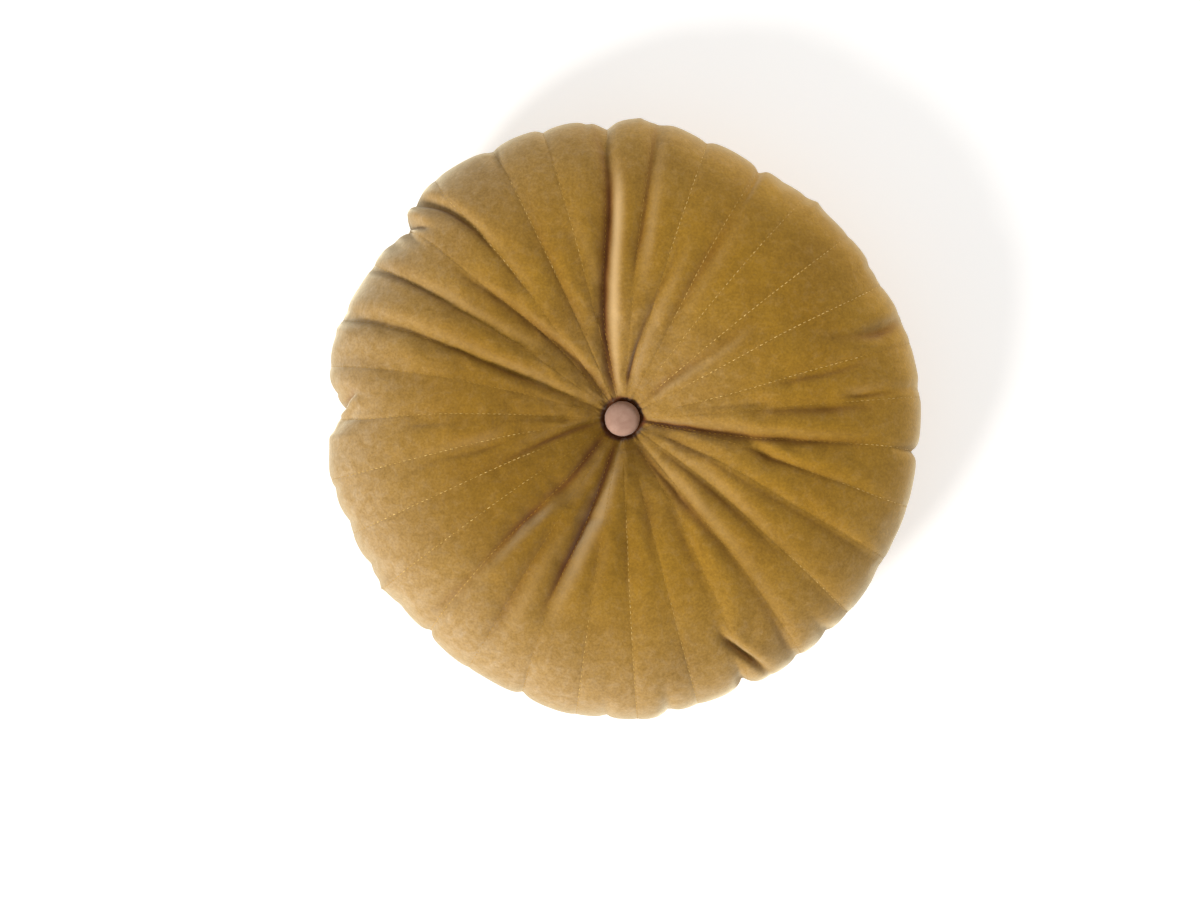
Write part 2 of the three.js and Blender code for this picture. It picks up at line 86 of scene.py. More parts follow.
# Seams. a3, a6, a9, rim: direction in degrees from +X at 0.3, 0.6, 0.9 of the face's radius and
# at the rim. out: outline radius there, without the nicks. full: how full the channel after this
# seam is, against the others.
SEAMS = [
    dict(a3=3.5, a6=4.2, a9=4.2, rim=4.2, out=201.5, full=0.0),
    dict(a3=12.3, a6=14.2, a9=14.6, rim=14.7, out=200.5, full=1.0),
    dict(a3=27.3, a6=28.0, a9=27.2, rim=27.2, out=196.9, full=1.7),
    dict(a3=40.5, a6=39.9, a9=39.1, rim=38.9, out=195.8, full=0.4),
    dict(a3=53.0, a6=52.0, a9=50.8, rim=50.3, out=195.1, full=0.0),
    dict(a3=62.5, a6=62.8, a9=61.8, rim=61.1, out=193.2, full=1.0),
    dict(a3=74.7, a6=73.9, a9=73.0, rim=72.9, out=195.8, full=0.9),
    dict(a3=84.7, a6=84.8, a9=83.9, rim=84.6, out=202.0, full=0.0),
    dict(a3=101.0, a6=95.0, a9=93.8, rim=92.8, out=202.1, full=0.5),
    dict(a3=104.6, a6=104.7, a9=105.3, rim=105.6, out=202.7, full=0.7),
    dict(a3=114.4, a6=115.0, a9=115.3, rim=116.0, out=201.8, full=0.9),
    dict(a3=126.0, a6=126.7, a9=128.3, rim=128.3, out=204.1, full=0.0),
    dict(a3=131.5, a6=136.0, a9=137.6, rim=138.9, out=198.2, full=0.7),
    dict(a3=144.0, a6=145.8, a9=147.5, rim=148.2, out=197.2, full=0.6),
    dict(a3=155.8, a6=157.3, a9=159.0, rim=161.0, out=200.0, full=0.0),
    dict(a3=166.0, a6=167.0, a9=169.0, rim=170.0, out=200.2, full=0.8),
    dict(a3=177.8, a6=178.5, a9=180.3, rim=180.2, out=195.9, full=0.2),
    dict(a3=188.0, a6=190.5, a9=191.8, rim=191.8, out=200.7, full=0.4),
    dict(a3=200.5, a6=202.3, a9=203.0, rim=203.1, out=197.4, full=0.0),
    dict(a3=212.8, a6=214.1, a9=215.0, rim=215.6, out=197.1, full=0.0),
    dict(a3=227.5, a6=225.8, a9=227.0, rim=227.9, out=195.0, full=0.7),
    dict(a3=237.5, a6=237.9, a9=238.3, rim=238.3, out=197.0, full=0.0),
    dict(a3=251.5, a6=248.5, a9=249.4, rim=250.1, out=198.6, full=0.7),
    dict(a3=260.5, a6=260.3, a9=261.1, rim=261.1, out=201.5, full=0.1),
    dict(a3=272.2, a6=272.3, a9=272.7, rim=273.0, out=202.6, full=1.4),
    dict(a3=284.7, a6=284.6, a9=284.8, rim=285.0, out=199.0, full=0.0),
    dict(a3=300.0, a6=297.5, a9=296.6, rim=295.5, out=200.1, full=0.0),
    dict(a3=308.5, a6=308.9, a9=307.8, rim=307.2, out=200.1, full=0.4),
    dict(a3=324.0, a6=321.0, a9=319.7, rim=319.2, out=200.4, full=0.9),
    dict(a3=337.0, a6=333.5, a9=332.3, rim=331.9, out=199.8, full=0.0),
    dict(a3=348.4, a6=344.4, a9=342.8, rim=342.8, out=201.2, full=0.0),
    dict(a3=350.6, a6=353.2, a9=354.2, rim=353.6, out=200.8, full=0.0),
]

# Nicks in the outline, where the cover is drawn in at the rim. at: direction in degrees; deep:
# depth; low, high: half widths in degrees on the side of the smaller and of the larger angles.
NICKS = [
    dict(at=20.5, deep=-1.9, low=1.3, high=2.0),
    dict(at=28.5, deep=1.5, low=2.6, high=2.6),
    dict(at=31.8, deep=1.5, low=2.1, high=0.8),
    dict(at=48.0, deep=-1.9, low=1.6, high=0.8),
    dict(at=55.8, deep=1.1, low=4.0, high=1.2),
    dict(at=61.0, deep=2.3, low=0.8, high=1.2),
    dict(at=73.0, deep=1.6, low=1.2, high=1.6),
    dict(at=86.5, deep=-1.5, low=0.8, high=2.0),
    dict(at=93.0, deep=6.6, low=1.9, high=2.8),
    dict(at=105.5, deep=2.4, low=2.8, high=1.0),
    dict(at=115.5, deep=2.5, low=1.8, high=2.0),
    dict(at=135.0, deep=-1.4, low=1.4, high=2.2),
    dict(at=139.0, deep=7.2, low=1.3, high=3.6),
    dict(at=142.5, deep=2.1, low=1.6, high=2.0),
    dict(at=158.5, deep=1.4, low=2.0, high=0.8),
    dict(at=162.5, deep=-1.4, low=2.0, high=0.8),
    dict(at=175.0, deep=2.4, low=1.3, high=0.8),
    dict(at=178.0, deep=8.6, low=3.8, high=3.6),
    dict(at=180.0, deep=2.8, low=0.8, high=0.8),
    dict(at=183.5, deep=-2.3, low=0.8, high=2.0),
    dict(at=193.5, deep=1.5, low=0.8, high=2.0),
    dict(at=200.5, deep=1.6, low=1.5, high=2.0),
    dict(at=210.0, deep=2.7, low=1.4, high=2.6),
    dict(at=215.2, deep=-2.2, low=1.2, high=0.8),
    dict(at=220.0, deep=1.4, low=2.0, high=2.6),
    dict(at=228.0, deep=3.0, low=1.2, high=0.9),
    dict(at=250.0, deep=2.6, low=1.3, high=1.6),
    dict(at=267.0, deep=2.0, low=1.1, high=0.8),
    dict(at=279.0, deep=2.9, low=1.1, high=1.3),
    dict(at=279.5, deep=1.4, low=1.6, high=2.0),
    dict(at=295.0, deep=6.6, low=2.7, high=1.8),
    dict(at=306.5, deep=1.9, low=1.5, high=1.0),
    dict(at=314.0, deep=2.7, low=1.7, high=1.0),
    dict(at=353.5, deep=4.4, low=1.1, high=1.1),
]

# Folds. start, end: reach along the face in radii, past 1 over the rim. b0..b3: direction in
# degrees of the middle of its steep side at the start, at a third, at two thirds and at the end.
# d0..d3: depth of the valley there. side: where its roll lies (+1 is counterclockwise). near,
# far: half widths of the valley on the roll's side and on the steep side. lip: height of the
# roll. lean: how far it leans over the valley. gloss: how strong a highlight is painted on the roll.
FOLDS = [
    dict(start=0.05, end=0.98, b0=107.6, b1=100.0, b2=94.3, b3=96.1, d0=7.5, d1=9.5, d2=10.5, d3=3.4, near=6.8, far=7.8, lip=0.0, side=-1, lean=1.0, gloss=1.1),
    dict(start=0.08, end=0.68, b0=82.7, b1=79.1, b2=73.9, b3=73.4, d0=11.0, d1=5.1, d2=2.7, d3=0.4, near=6.2, far=3.5, lip=1.4, side=-1, lean=0.4, gloss=0.3),
    dict(start=0.36, end=1.02, b0=88.4, b1=85.0, b2=84.2, b3=83.4, d0=0.0, d1=5.7, d2=5.9, d3=3.8, near=6.6, far=4.8, lip=0.6, side=-1, lean=0.4, gloss=0.3),
    dict(start=0.90, end=1.04, b0=98.3, b1=98.5, b2=97.6, b3=97.8, d0=2.4, d1=2.8, d2=2.7, d3=3.0, near=2.4, far=2.8, lip=1.0, side=-1, lean=0.2, gloss=0.2),
    dict(start=0.40, end=0.66, b0=106.7, b1=106.3, b2=106.5, b3=107.8, d0=7.7, d1=1.5, d2=1.3, d3=1.8, near=7.9, far=5.1, lip=0.0, side=-1, lean=0.0, gloss=0.1),
    dict(start=0.20, end=0.86, b0=113.5, b1=115.4, b2=115.1, b3=113.8, d0=1.2, d1=3.2, d2=2.6, d3=0.0, near=6.0, far=7.4, lip=0.0, side=-1, lean=0.0, gloss=0.0),
    dict(start=0.87, end=1.04, b0=116.4, b1=117.1, b2=117.2, b3=118.6, d0=2.0, d1=2.0, d2=1.0, d3=1.0, near=2.8, far=2.7, lip=1.4, side=-1, lean=0.0, gloss=0.3),
    dict(start=0.46, end=1.02, b0=127.4, b1=128.1, b2=129.6, b3=135.2, d0=3.2, d1=2.0, d2=5.4, d3=8.0, near=5.2, far=3.4, lip=0.6, side=-1, lean=0.8, gloss=0.2),
    dict(start=0.86, end=1.06, b0=135.4, b1=136.6, b2=138.2, b3=139.0, d0=2.0, d1=7.0, d2=8.2, d3=6.0, near=3.0, far=2.9, lip=1.2, side=-1, lean=0.4, gloss=0.2),
    dict(start=0.05, end=0.74, b0=123.0, b1=131.2, b2=136.2, b3=139.1, d0=5.2, d1=4.8, d2=4.2, d3=2.8, near=5.0, far=8.5, lip=0.0, side=-1, lean=0.8, gloss=0.1),
    dict(start=0.30, end=1.00, b0=142.8, b1=147.0, b2=147.8, b3=150.0, d0=1.8, d1=2.0, d2=3.3, d3=2.8, near=6.3, far=2.4, lip=0.4, side=-1, lean=0.5, gloss=0.3),
    dict(start=0.06, end=1.02, b0=159.2, b1=159.3, b2=158.1, b3=161.4, d0=1.7, d1=4.2, d2=3.5, d3=2.0, near=6.1, far=3.0, lip=2.3, side=-1, lean=0.9, gloss=0.2),
    dict(start=0.50, end=1.00, b0=168.5, b1=170.7, b2=168.3, b3=170.8, d0=0.1, d1=1.5, d2=1.2, d3=1.7, near=7.5, far=7.6, lip=2.6, side=-1, lean=0.0, gloss=0.0),
    dict(start=0.11, end=0.70, b0=183.0, b1=182.2, b2=182.4, b3=182.8, d0=4.4, d1=1.4, d2=0.3, d3=2.6, near=6.6, far=2.7, lip=0.3, side=-1, lean=0.0, gloss=0.0),
    dict(start=0.87, end=1.07, b0=173.7, b1=174.4, b2=177.8, b3=177.7, d0=5.7, d1=8.5, d2=8.0, d3=7.0, near=3.1, far=3.8, lip=3.5, side=1, lean=1.2, gloss=0.4),
    dict(start=0.36, end=0.74, b0=190.9, b1=193.7, b2=193.6, b3=195.6, d0=4.1, d1=2.4, d2=1.3, d3=1.6, near=7.6, far=2.4, lip=2.4, side=-1, lean=0.0, gloss=0.2),
    dict(start=0.06, end=0.60, b0=190.0, b1=197.5, b2=200.9, b3=200.5, d0=6.4, d1=7.0, d2=3.1, d3=0.2, near=7.6, far=4.4, lip=0.0, side=-1, lean=0.2, gloss=0.0),
    dict(start=0.88, end=1.04, b0=214.0, b1=214.3, b2=214.4, b3=214.6, d0=1.6, d1=1.6, d2=1.4, d3=2.0, near=4.6, far=4.0, lip=1.4, side=-1, lean=0.0, gloss=0.0),
    dict(start=0.05, end=0.36, b0=220.9, b1=226.5, b2=228.3, b3=225.0, d0=8.5, d1=8.7, d2=7.7, d3=7.8, near=9.0, far=7.4, lip=3.6, side=1, lean=0.0, gloss=0.2),
    dict(start=0.32, end=0.90, b0=227.2, b1=225.6, b2=225.9, b3=225.2, d0=8.8, d1=7.7, d2=2.8, d3=3.7, near=5.6, far=6.3, lip=2.0, side=1, lean=0.3, gloss=0.3),
    dict(start=0.36, end=0.94, b0=238.0, b1=237.1, b2=237.9, b3=237.5, d0=2.4, d1=3.0, d2=4.0, d3=0.0, near=8.8, far=8.3, lip=0.0, side=1, lean=0.0, gloss=0.2),
    dict(start=0.05, end=0.76, b0=253.7, b1=250.4, b2=247.9, b3=247.1, d0=7.2, d1=13.2, d2=9.7, d3=0.0, near=7.8, far=6.0, lip=2.6, side=1, lean=0.9, gloss=0.7),
    dict(start=0.36, end=0.62, b0=258.1, b1=259.0, b2=258.3, b3=256.9, d0=5.3, d1=2.5, d2=1.5, d3=1.3, near=4.8, far=6.0, lip=0.9, side=1, lean=0.0, gloss=0.1),
    dict(start=0.18, end=0.66, b0=272.0, b1=270.8, b2=270.8, b3=270.7, d0=0.0, d1=2.0, d2=2.0, d3=0.0, near=7.1, far=4.1, lip=0.8, side=1, lean=0.0, gloss=0.0),
    dict(start=0.20, end=0.72, b0=286.7, b1=282.6, b2=280.8, b3=283.6, d0=4.6, d1=3.0, d2=1.0, d3=0.0, near=9.0, far=7.6, lip=0.0, side=1, lean=0.0, gloss=0.0),
    dict(start=0.26, end=0.80, b0=298.0, b1=295.5, b2=295.1, b3=293.7, d0=1.7, d1=3.0, d2=1.5, d3=1.0, near=6.9, far=6.9, lip=4.2, side=1, lean=0.0, gloss=0.0),
    dict(start=0.06, end=0.97, b0=296.6, b1=305.2, b2=307.0, b3=305.2, d0=4.8, d1=6.2, d2=1.9, d3=3.2, near=7.8, far=7.7, lip=0.8, side=1, lean=0.3, gloss=0.3),
    dict(start=0.10, end=0.97, b0=317.8, b1=319.5, b2=318.4, b3=318.0, d0=2.1, d1=5.2, d2=1.3, d3=1.2, near=7.5, far=5.5, lip=2.0, side=1, lean=0.3, gloss=0.2),
    dict(start=0.74, end=0.985, b0=293.8, b1=294.7, b2=297.2, b3=299.4, d0=3.8, d1=5.2, d2=7.2, d3=4.2, near=4.2, far=2.8, lip=1.4, side=1, lean=1.0, gloss=0.5),
    dict(start=0.93, end=1.05, b0=293.6, b1=293.9, b2=294.2, b3=294.6, d0=2.0, d1=3.4, d2=4.0, d3=4.0, near=2.4, far=2.4, lip=0.8, side=1, lean=0.2, gloss=0.2),
    dict(start=0.11, end=1.00, b0=337.8, b1=331.9, b2=330.9, b3=329.1, d0=4.7, d1=2.7, d2=2.7, d3=1.8, near=6.1, far=6.0, lip=1.3, side=1, lean=0.2, gloss=0.0),
    dict(start=0.39, end=0.94, b0=346.2, b1=343.6, b2=343.0, b3=340.4, d0=8.8, d1=3.1, d2=1.8, d3=0.4, near=4.9, far=5.4, lip=1.6, side=1, lean=0.3, gloss=0.0),
    dict(start=0.04, end=0.84, b0=352.8, b1=350.8, b2=352.2, b3=353.8, d0=11.6, d1=7.4, d2=6.0, d3=2.0, near=5.6, far=6.0, lip=1.6, side=1, lean=0.9, gloss=0.1),
    dict(start=0.20, end=0.48, b0=5.4, b1=5.8, b2=5.0, b3=5.5, d0=3.9, d1=1.1, d2=1.4, d3=2.4, near=3.7, far=3.1, lip=0.2, side=1, lean=0.0, gloss=0.0),
    dict(start=0.34, end=0.84, b0=3.5, b1=2.0, b2=1.9, b3=2.4, d0=0.0, d1=3.9, d2=5.9, d3=2.4, near=9.0, far=5.9, lip=0.6, side=1, lean=0.0, gloss=0.0),
    dict(start=0.70, end=1.02, b0=5.7, b1=4.9, b2=5.2, b3=5.0, d0=7.2, d1=4.1, d2=2.1, d3=3.2, near=4.8, far=3.4, lip=0.5, side=1, lean=0.2, gloss=0.2),
    dict(start=0.46, end=0.88, b0=11.7, b1=11.7, b2=11.9, b3=13.6, d0=2.4, d1=4.3, d2=4.1, d3=0.8, near=8.2, far=4.7, lip=2.1, side=1, lean=0.0, gloss=0.0),
    dict(start=0.68, end=1.03, b0=22.5, b1=19.3, b2=17.9, b3=20.4, d0=3.9, d1=3.3, d2=8.2, d3=5.2, near=6.9, far=6.9, lip=0.0, side=1, lean=0.0, gloss=0.0),
    dict(start=0.08, end=0.50, b0=39.0, b1=40.3, b2=38.2, b3=38.1, d0=4.6, d1=4.6, d2=2.4, d3=2.5, near=5.0, far=6.9, lip=0.9, side=-1, lean=0.0, gloss=0.4),
    dict(start=0.78, end=1.03, b0=61.9, b1=61.6, b2=61.3, b3=61.2, d0=0.8, d1=2.0, d2=2.4, d3=2.2, near=2.8, far=2.6, lip=0.6, side=-1, lean=0.0, gloss=0.1),
    dict(start=0.22, end=0.84, b0=64.8, b1=64.2, b2=62.4, b3=62.4, d0=0.0, d1=3.8, d2=4.9, d3=1.6, near=7.8, far=8.4, lip=1.7, side=-1, lean=0.0, gloss=0.1),
]
PUCKERS = [  # waves of the cloth round a button: how many, how high in mm, and where they start
    dict(count=9, size=0.45, turn=0.6),
    dict(count=14, size=0.40, turn=2.1),
    dict(count=23, size=0.26, turn=4.0),
    dict(count=31, size=0.15, turn=5.2),
]
FADE = 0.12  # reach over which a fold starts and ends

# Painted light, along the reach: painted sheen on the rim on the side that faces the key light,
# painted sheen on the inner slope on the other side, painted shade on the inner slope of the first
# side, and painted light that makes the rim brighter on the other side.
PAINTED_LIGHT_REACH = [0.0, 0.12, 0.3, 0.42, 0.55, 0.68, 0.78, 0.86, 0.95, 1.05, 1.3, 3.0]
RIM_PAINTED_SHEEN = [0.0, 0.0, 0.0, 0.0, 0.04, 0.16, 0.3, 0.45, 0.64, 0.64, 0.4, 0.4]
INNER_PAINTED_SHEEN = [0.2, 0.25, 0.19, 0.09, 0.03, 0.0, 0.0, 0.0, 0.0, 0.0, 0.0, 0.0]
INNER_PAINTED_SHADE = [0.0, 0.04, 0.14, 0.2, 0.16, 0.06, 0.0, 0.0, 0.0, 0.0, 0.0, 0.0]
RIM_PAINTED_LIGHT = [0.0, 0.0, 0.0, 0.0, 0.0, 0.0, 0.0, 0.06, 0.24, 0.26, 0.1, 0.0]
# Directions in degrees: the side the key light comes from, and the side of the inner slope's painted sheen.
PAINTED_LIGHT_SIDE, INNER_SHEEN_SIDE = 203.0, 50.0
BUTTON_R = 12.0

# ------------------------------------------------------------------------------------------
# Cover: a grid of columns round the pillow (u, in channels) and rows along its section (v)
# ------------------------------------------------------------------------------------------
NS = len(SEAMS)
# Rows in and round the bed of the front button, in mm from the middle.
FIRST_ROWS = np.array([0.0, 6.0, 10.5, 12.4, 13.2, 14.0, 15.0, 16.2, 17.6, 19.2, 21.0, 23.2])


def smoothstep(a, b, x):
    t = np.clip((x - a) / (b - a), 0.0, 1.0)
    return t * t * (3 - 2 * t)


def blur(values, sigma, step):
    """Gaussian blur along the first axis, its ends held."""
    n = int(math.ceil(3 * sigma / step))
    k = np.exp(-0.5 * (np.arange(-n, n + 1) * step / sigma) ** 2)
    k /= k.sum()
    padded = np.concatenate([2 * values[:1] - values[n:0:-1], values, 2 * values[-1:] - values[-2 : -n - 2 : -1]])
    return np.stack([np.convolve(padded[:, i], k, "valid") for i in range(values.shape[1])], 1)


def section_rows(n_face, n_side, n_back):
    """Rows of the mean section: r, z, its outward normal, its weights, and its reach."""
    keys = ["r", "z", "puff", "groove", "sway", "nick", "crease", "lump"]
    ctrl = np.array([[row[k] for k in keys] for row in SECTION], float)
    along = np.concatenate([[0], np.cumsum(np.hypot(np.diff(ctrl[:, 0]), np.diff(ctrl[:, 1])))])
    step = 0.5
    s = np.arange(0, along[-1] + step / 2, step)
    dense = np.stack([np.interp(s, along, ctrl[:, i]) for i in range(len(keys))], 1)
    soft = blur(dense, 7.0, step)
    # The flat ring that it rests on and the beds of the buttons stay as they are.
    hard = blur(dense, 1.2, step)
    near_bed = np.clip(1 - (dense[:, 0] - BED_R) / 26.0, 0, 1)[:, None]
    dense = soft * (1 - near_bed) + hard * near_bed
    dense[:, 1] = np.maximum(dense[:, 1], 0.0)
    rim = int(np.argmax(dense[:, 0]))
    dense[:, 0] *= HALF / dense[rim, 0]
    s_rim = s[rim]
    s_under = s_rim + 62.0
    s_end = s[-1]
    rows = np.concatenate(
        [
            FIRST_ROWS,
            np.linspace(FIRST_ROWS[-1] + 2.2, s_rim, n_face - len(FIRST_ROWS), endpoint=False),
            np.linspace(s_rim, s_under, n_side, endpoint=False),
            s_end - (s_end - s_under) * np.linspace(1, 0, n_back) ** 0.92,
        ]
    )
    tangent = np.gradient(dense[:, :2], axis=0)
    tangent /= np.maximum(np.linalg.norm(tangent, axis=1, keepdims=True), 1e-9)
    at = {k: np.interp(rows, s, dense[:, i]) for i, k in enumerate(keys)}
    tr, tz = (np.interp(rows, s, tangent[:, i]) for i in (0, 1))
    length = np.hypot(tr, tz)
    at["nr"], at["nz"] = -tz / length, tr / length
    at["tr"], at["tz"] = tr / length, tz / length
    at["reach"] = np.where(rows <= s_rim, at["r"] / HALF, 1 + (rows - s_rim) / HALF)
    at["s"] = rows
    at["s_rim"] = s_rim
    at["over"] = rows > s_rim
    return at


def seam_angles(reach):
    """Direction of each seam, in degrees, for each reach: one row for each reach."""
    stops = [0.0, 0.3, 0.6, 0.9, 1.0, 9.0]
    table = np.array([[s["a3"], s["a3"], s["a6"], s["a9"], s["rim"], s["rim"]] for s in SEAMS])
    dense = np.linspace(0, 2.6, 521)
    lines = np.stack([np.interp(dense, stops, line) for line in table], 1)
    lines = blur(lines, 0.05, dense[1] - dense[0])
    out = np.stack([np.interp(reach, dense, lines[:, i]) for i in range(NS)], 1)
    return np.concatenate([out, out[:, :1] + 360.0], 1)


def fold_line(f, t):
    u = 3 * t
    return (
        -f["b0"] * (u - 1) * (u - 2) * (u - 3) / 6
        + f["b1"] * u * (u - 2) * (u - 3) / 2
        - f["b2"] * u * (u - 1) * (u - 3) / 2
        + f["b3"] * u * (u - 1) * (u - 2) / 6
    )


def bell(x):
    return np.exp(-x * x)


def cover_points(u, at, detail=True):
    """Positions in mm of the cover at columns u (in channels) and section rows `at`, with how much
    painted shade each gets in creases, along sewn lines and round a button, and how much painted
    highlight it gets on the roll of a fold, from 0 to 1."""
    angles = seam_angles(at["reach"])
    i = np.floor(u).astype(int) % NS
    f = u - np.floor(u)
    theta = angles[:, i] + (angles[:, i + 1] - angles[:, i]) * f  # rows x columns
    nxt = (i + 1) % NS
    out = np.array([s["out"] for s in SEAMS])
    full = np.array([s["full"] for s in SEAMS])
    arch = np.sin(np.pi * f) ** 0.8
    ease = f * f * (3 - 2 * f)
    outline = out[i] * (1 - ease) + out[nxt] * ease
    nick = np.zeros_like(theta)
    for nk in NICKS:
        off = (theta - nk["at"] + 180) % 360 - 180
        nick += nk["deep"] * np.exp(-(np.abs(off / np.where(off < 0, nk["low"], nk["high"])) ** 1.3))
    R = at["r"][:, None] + at["sway"][:, None] * (outline - HALF)[None, :] - at["nick"][:, None] * nick
    width = np.abs(angles[:, i + 1] - angles[:, i]) * math.pi / 180 * at["r"][:, None]
    to_seam = np.minimum(f, 1 - f)[None, :] * width
    rise = at["puff"][:, None] * (arch * full[i])[None, :]
    rise = rise - at["groove"][:, None] * np.exp(-to_seam / 1.1)
    slide = np.zeros_like(rise)
    # Painted shade, faint, along the sewn lines.
    painted_crease_shade = np.exp(-to_seam / 1.2) * 0.03
    painted_roll_highlight = np.zeros_like(rise)
    taper = 1 - smoothstep(0.70, 0.92, at["reach"])[:, None]
    for fd in FOLDS:
        reach = at["reach"][:, None]
        fade = smoothstep(fd["start"], fd["start"] + min(FADE, 0.03 + 0.6 * fd["start"]), reach) * (
            1 - smoothstep(fd["end"] - FADE * 0.6, fd["end"] + FADE * 0.6, reach)
        )
        t = np.clip((reach - fd["start"]) / (fd["end"] - fd["start"]), 0, 1)
        off = (theta - fold_line(fd, t) + 180) % 360 - 180
        share = fade * at["crease"][:, None]
        # Near the middle the folds narrow, as the cloth has less room there.
        tight = np.clip(at["r"][:, None] / 66.0, 0.3, 1.0) ** 0.6
        x = off * math.pi / 180 * at["r"][:, None] * fd["side"] - 2.0 * tight
        deep = np.interp(t, [0, 1 / 3, 2 / 3, 1], [fd["d0"], fd["d1"], fd["d2"], fd["d3"]]) * tight
        near, far = fd["near"] * tight, fd["far"] * tight
        groove = np.where(x > 0, bell(x / near), np.exp(-(np.abs(x / far) ** 1.3)))
        crest = bell((x - 2.1 * near) / (1.3 * near))
        weight = share * deep / max(fd["d1"], fd["d2"])
        rise += weight * fd["lip"] * crest - share * deep * groove
        slide -= fd["side"] * fd["lean"] * weight * bell((x - 1.4 * near) / (1.2 * near))
        # Painted shade in each fold's valley, on its steep side: its width, then how dark it is.
        dark = (0.42 + 0.25 * (1 - smoothstep(22.0, 55.0, at["r"])[:, None])) * far
        painted_crease_shade = np.maximum(painted_crease_shade, share * np.exp(-(((x + 0.8) / dark) ** 2)) * np.clip(deep / tight / 9, 0, 1) ** 1.5)
        # Painted highlight on the roll of each fold.
        painted_roll_highlight = np.maximum(painted_roll_highlight, fd["gloss"] * weight * taper * bell((x - 0.85 * near) / (0.5 * near)))
    rad = np.radians(theta)
    # The cloth puckers where a button draws it in. A ring of painted shade is laid round the button.
    tucks = sum(q["size"] * np.cos(q["count"] * rad + q["turn"]) for q in PUCKERS)
    away = np.maximum(at["r"][:, None] - BED_R, 0.0)
    rise += 0.75 * tucks * bell((away - 3.2) / 2.8) * (away > 0.05)
    ring = 1 - smoothstep(0.9 + 0.55 * tucks, 2.9 + 0.9 * tucks, away)
    painted_crease_shade = np.maximum(painted_crease_shade, 1.15 * ring)
    r = R + at["nr"][:, None] * rise
    z = at["z"][:, None] + at["nz"][:, None] * rise
    turn = rad + slide / np.maximum(at["r"][:, None], 8.0)
    x, y = r * np.cos(turn), r * np.sin(turn)
    p = np.stack([x, y, z], -1)
    if detail:
        p = add_lumps(p, at)
    rest = (at["z"] < 0.02) & at["over"]
    p[..., 2] = np.where(rest[:, None], np.maximum(p[..., 2], 0.0), np.maximum(p[..., 2], 0.05))
    return p, painted_crease_shade, painted_roll_highlight


def add_lumps(p, at):
    """Uneven filling and slack cloth: soft noise along the surface normal."""
    shape = p.shape[:2]
    flat = p.reshape(-1, 3)
    big = np.fromiter((noise.noise(Vector(q) / 60.0) for q in flat), float, len(flat)).reshape(shape)
    mid = np.fromiter((noise.noise(Vector((q[0] + 500, q[1], q[2])) / 24.0) for q in flat), float, len(flat)).reshape(shape)
    rise = at["lump"][:, None] * (1.5 * big + 0.3 * mid)
    theta = np.arctan2(p[..., 1], p[..., 0])
    out = p.copy()
    out[..., 0] += rise * at["nr"][:, None] * np.cos(theta)
    out[..., 1] += rise * at["nr"][:, None] * np.sin(theta)
    out[..., 2] += rise * at["nz"][:, None]
    return out


def grid_faces(rows, columns):
    """Quads of a grid that closes round in its columns, with rows 0 and last joined to poles."""
    j = np.arange(columns)
    n = (j + 1) % columns
    quads = []
    for k in range(rows - 1):
        quads.append(np.stack([k * columns + j, (k + 1) * columns + j, (k + 1) * columns + n, k * columns + n], 1))
    quads = np.concatenate(quads)
    top, bottom = rows * columns, rows * columns + 1
    fans = np.concatenate(
        [
            np.stack([np.full(columns, top), j, n], 1),
            np.stack([np.full(columns, bottom), (rows - 1) * columns + n, (rows - 1) * columns + j], 1),
        ]
    )
    return quads, fans


def make_mesh(name, points, quads, tris):
    mesh = bpy.data.meshes.new(name)
    mesh.from_pydata([tuple(p) for p in points], [], [tuple(q) for q in quads.tolist()] + [tuple(t) for t in tris.tolist()])
    mesh.update()
    ob = bpy.data.objects.new(name, mesh)
    scene.collection.objects.link(ob)
    return ob


def column_values(per_channel, crowd):
    """Columns across the channels, closer together near the seams."""
    f = np.arange(per_channel) / per_channel
    f = f - crowd * np.sin(2 * np.pi * f) / (2 * np.pi)
    return (np.arange(NS)[:, None] + f[None, :]).reshape(-1)


SPARE_CLOTH = 0.025  # how much wider than its channel the cover could be cut
FACE_TAUT, RIM_TAUT = 0.8, 0.45  # how far that is taken back on the face and round the rim


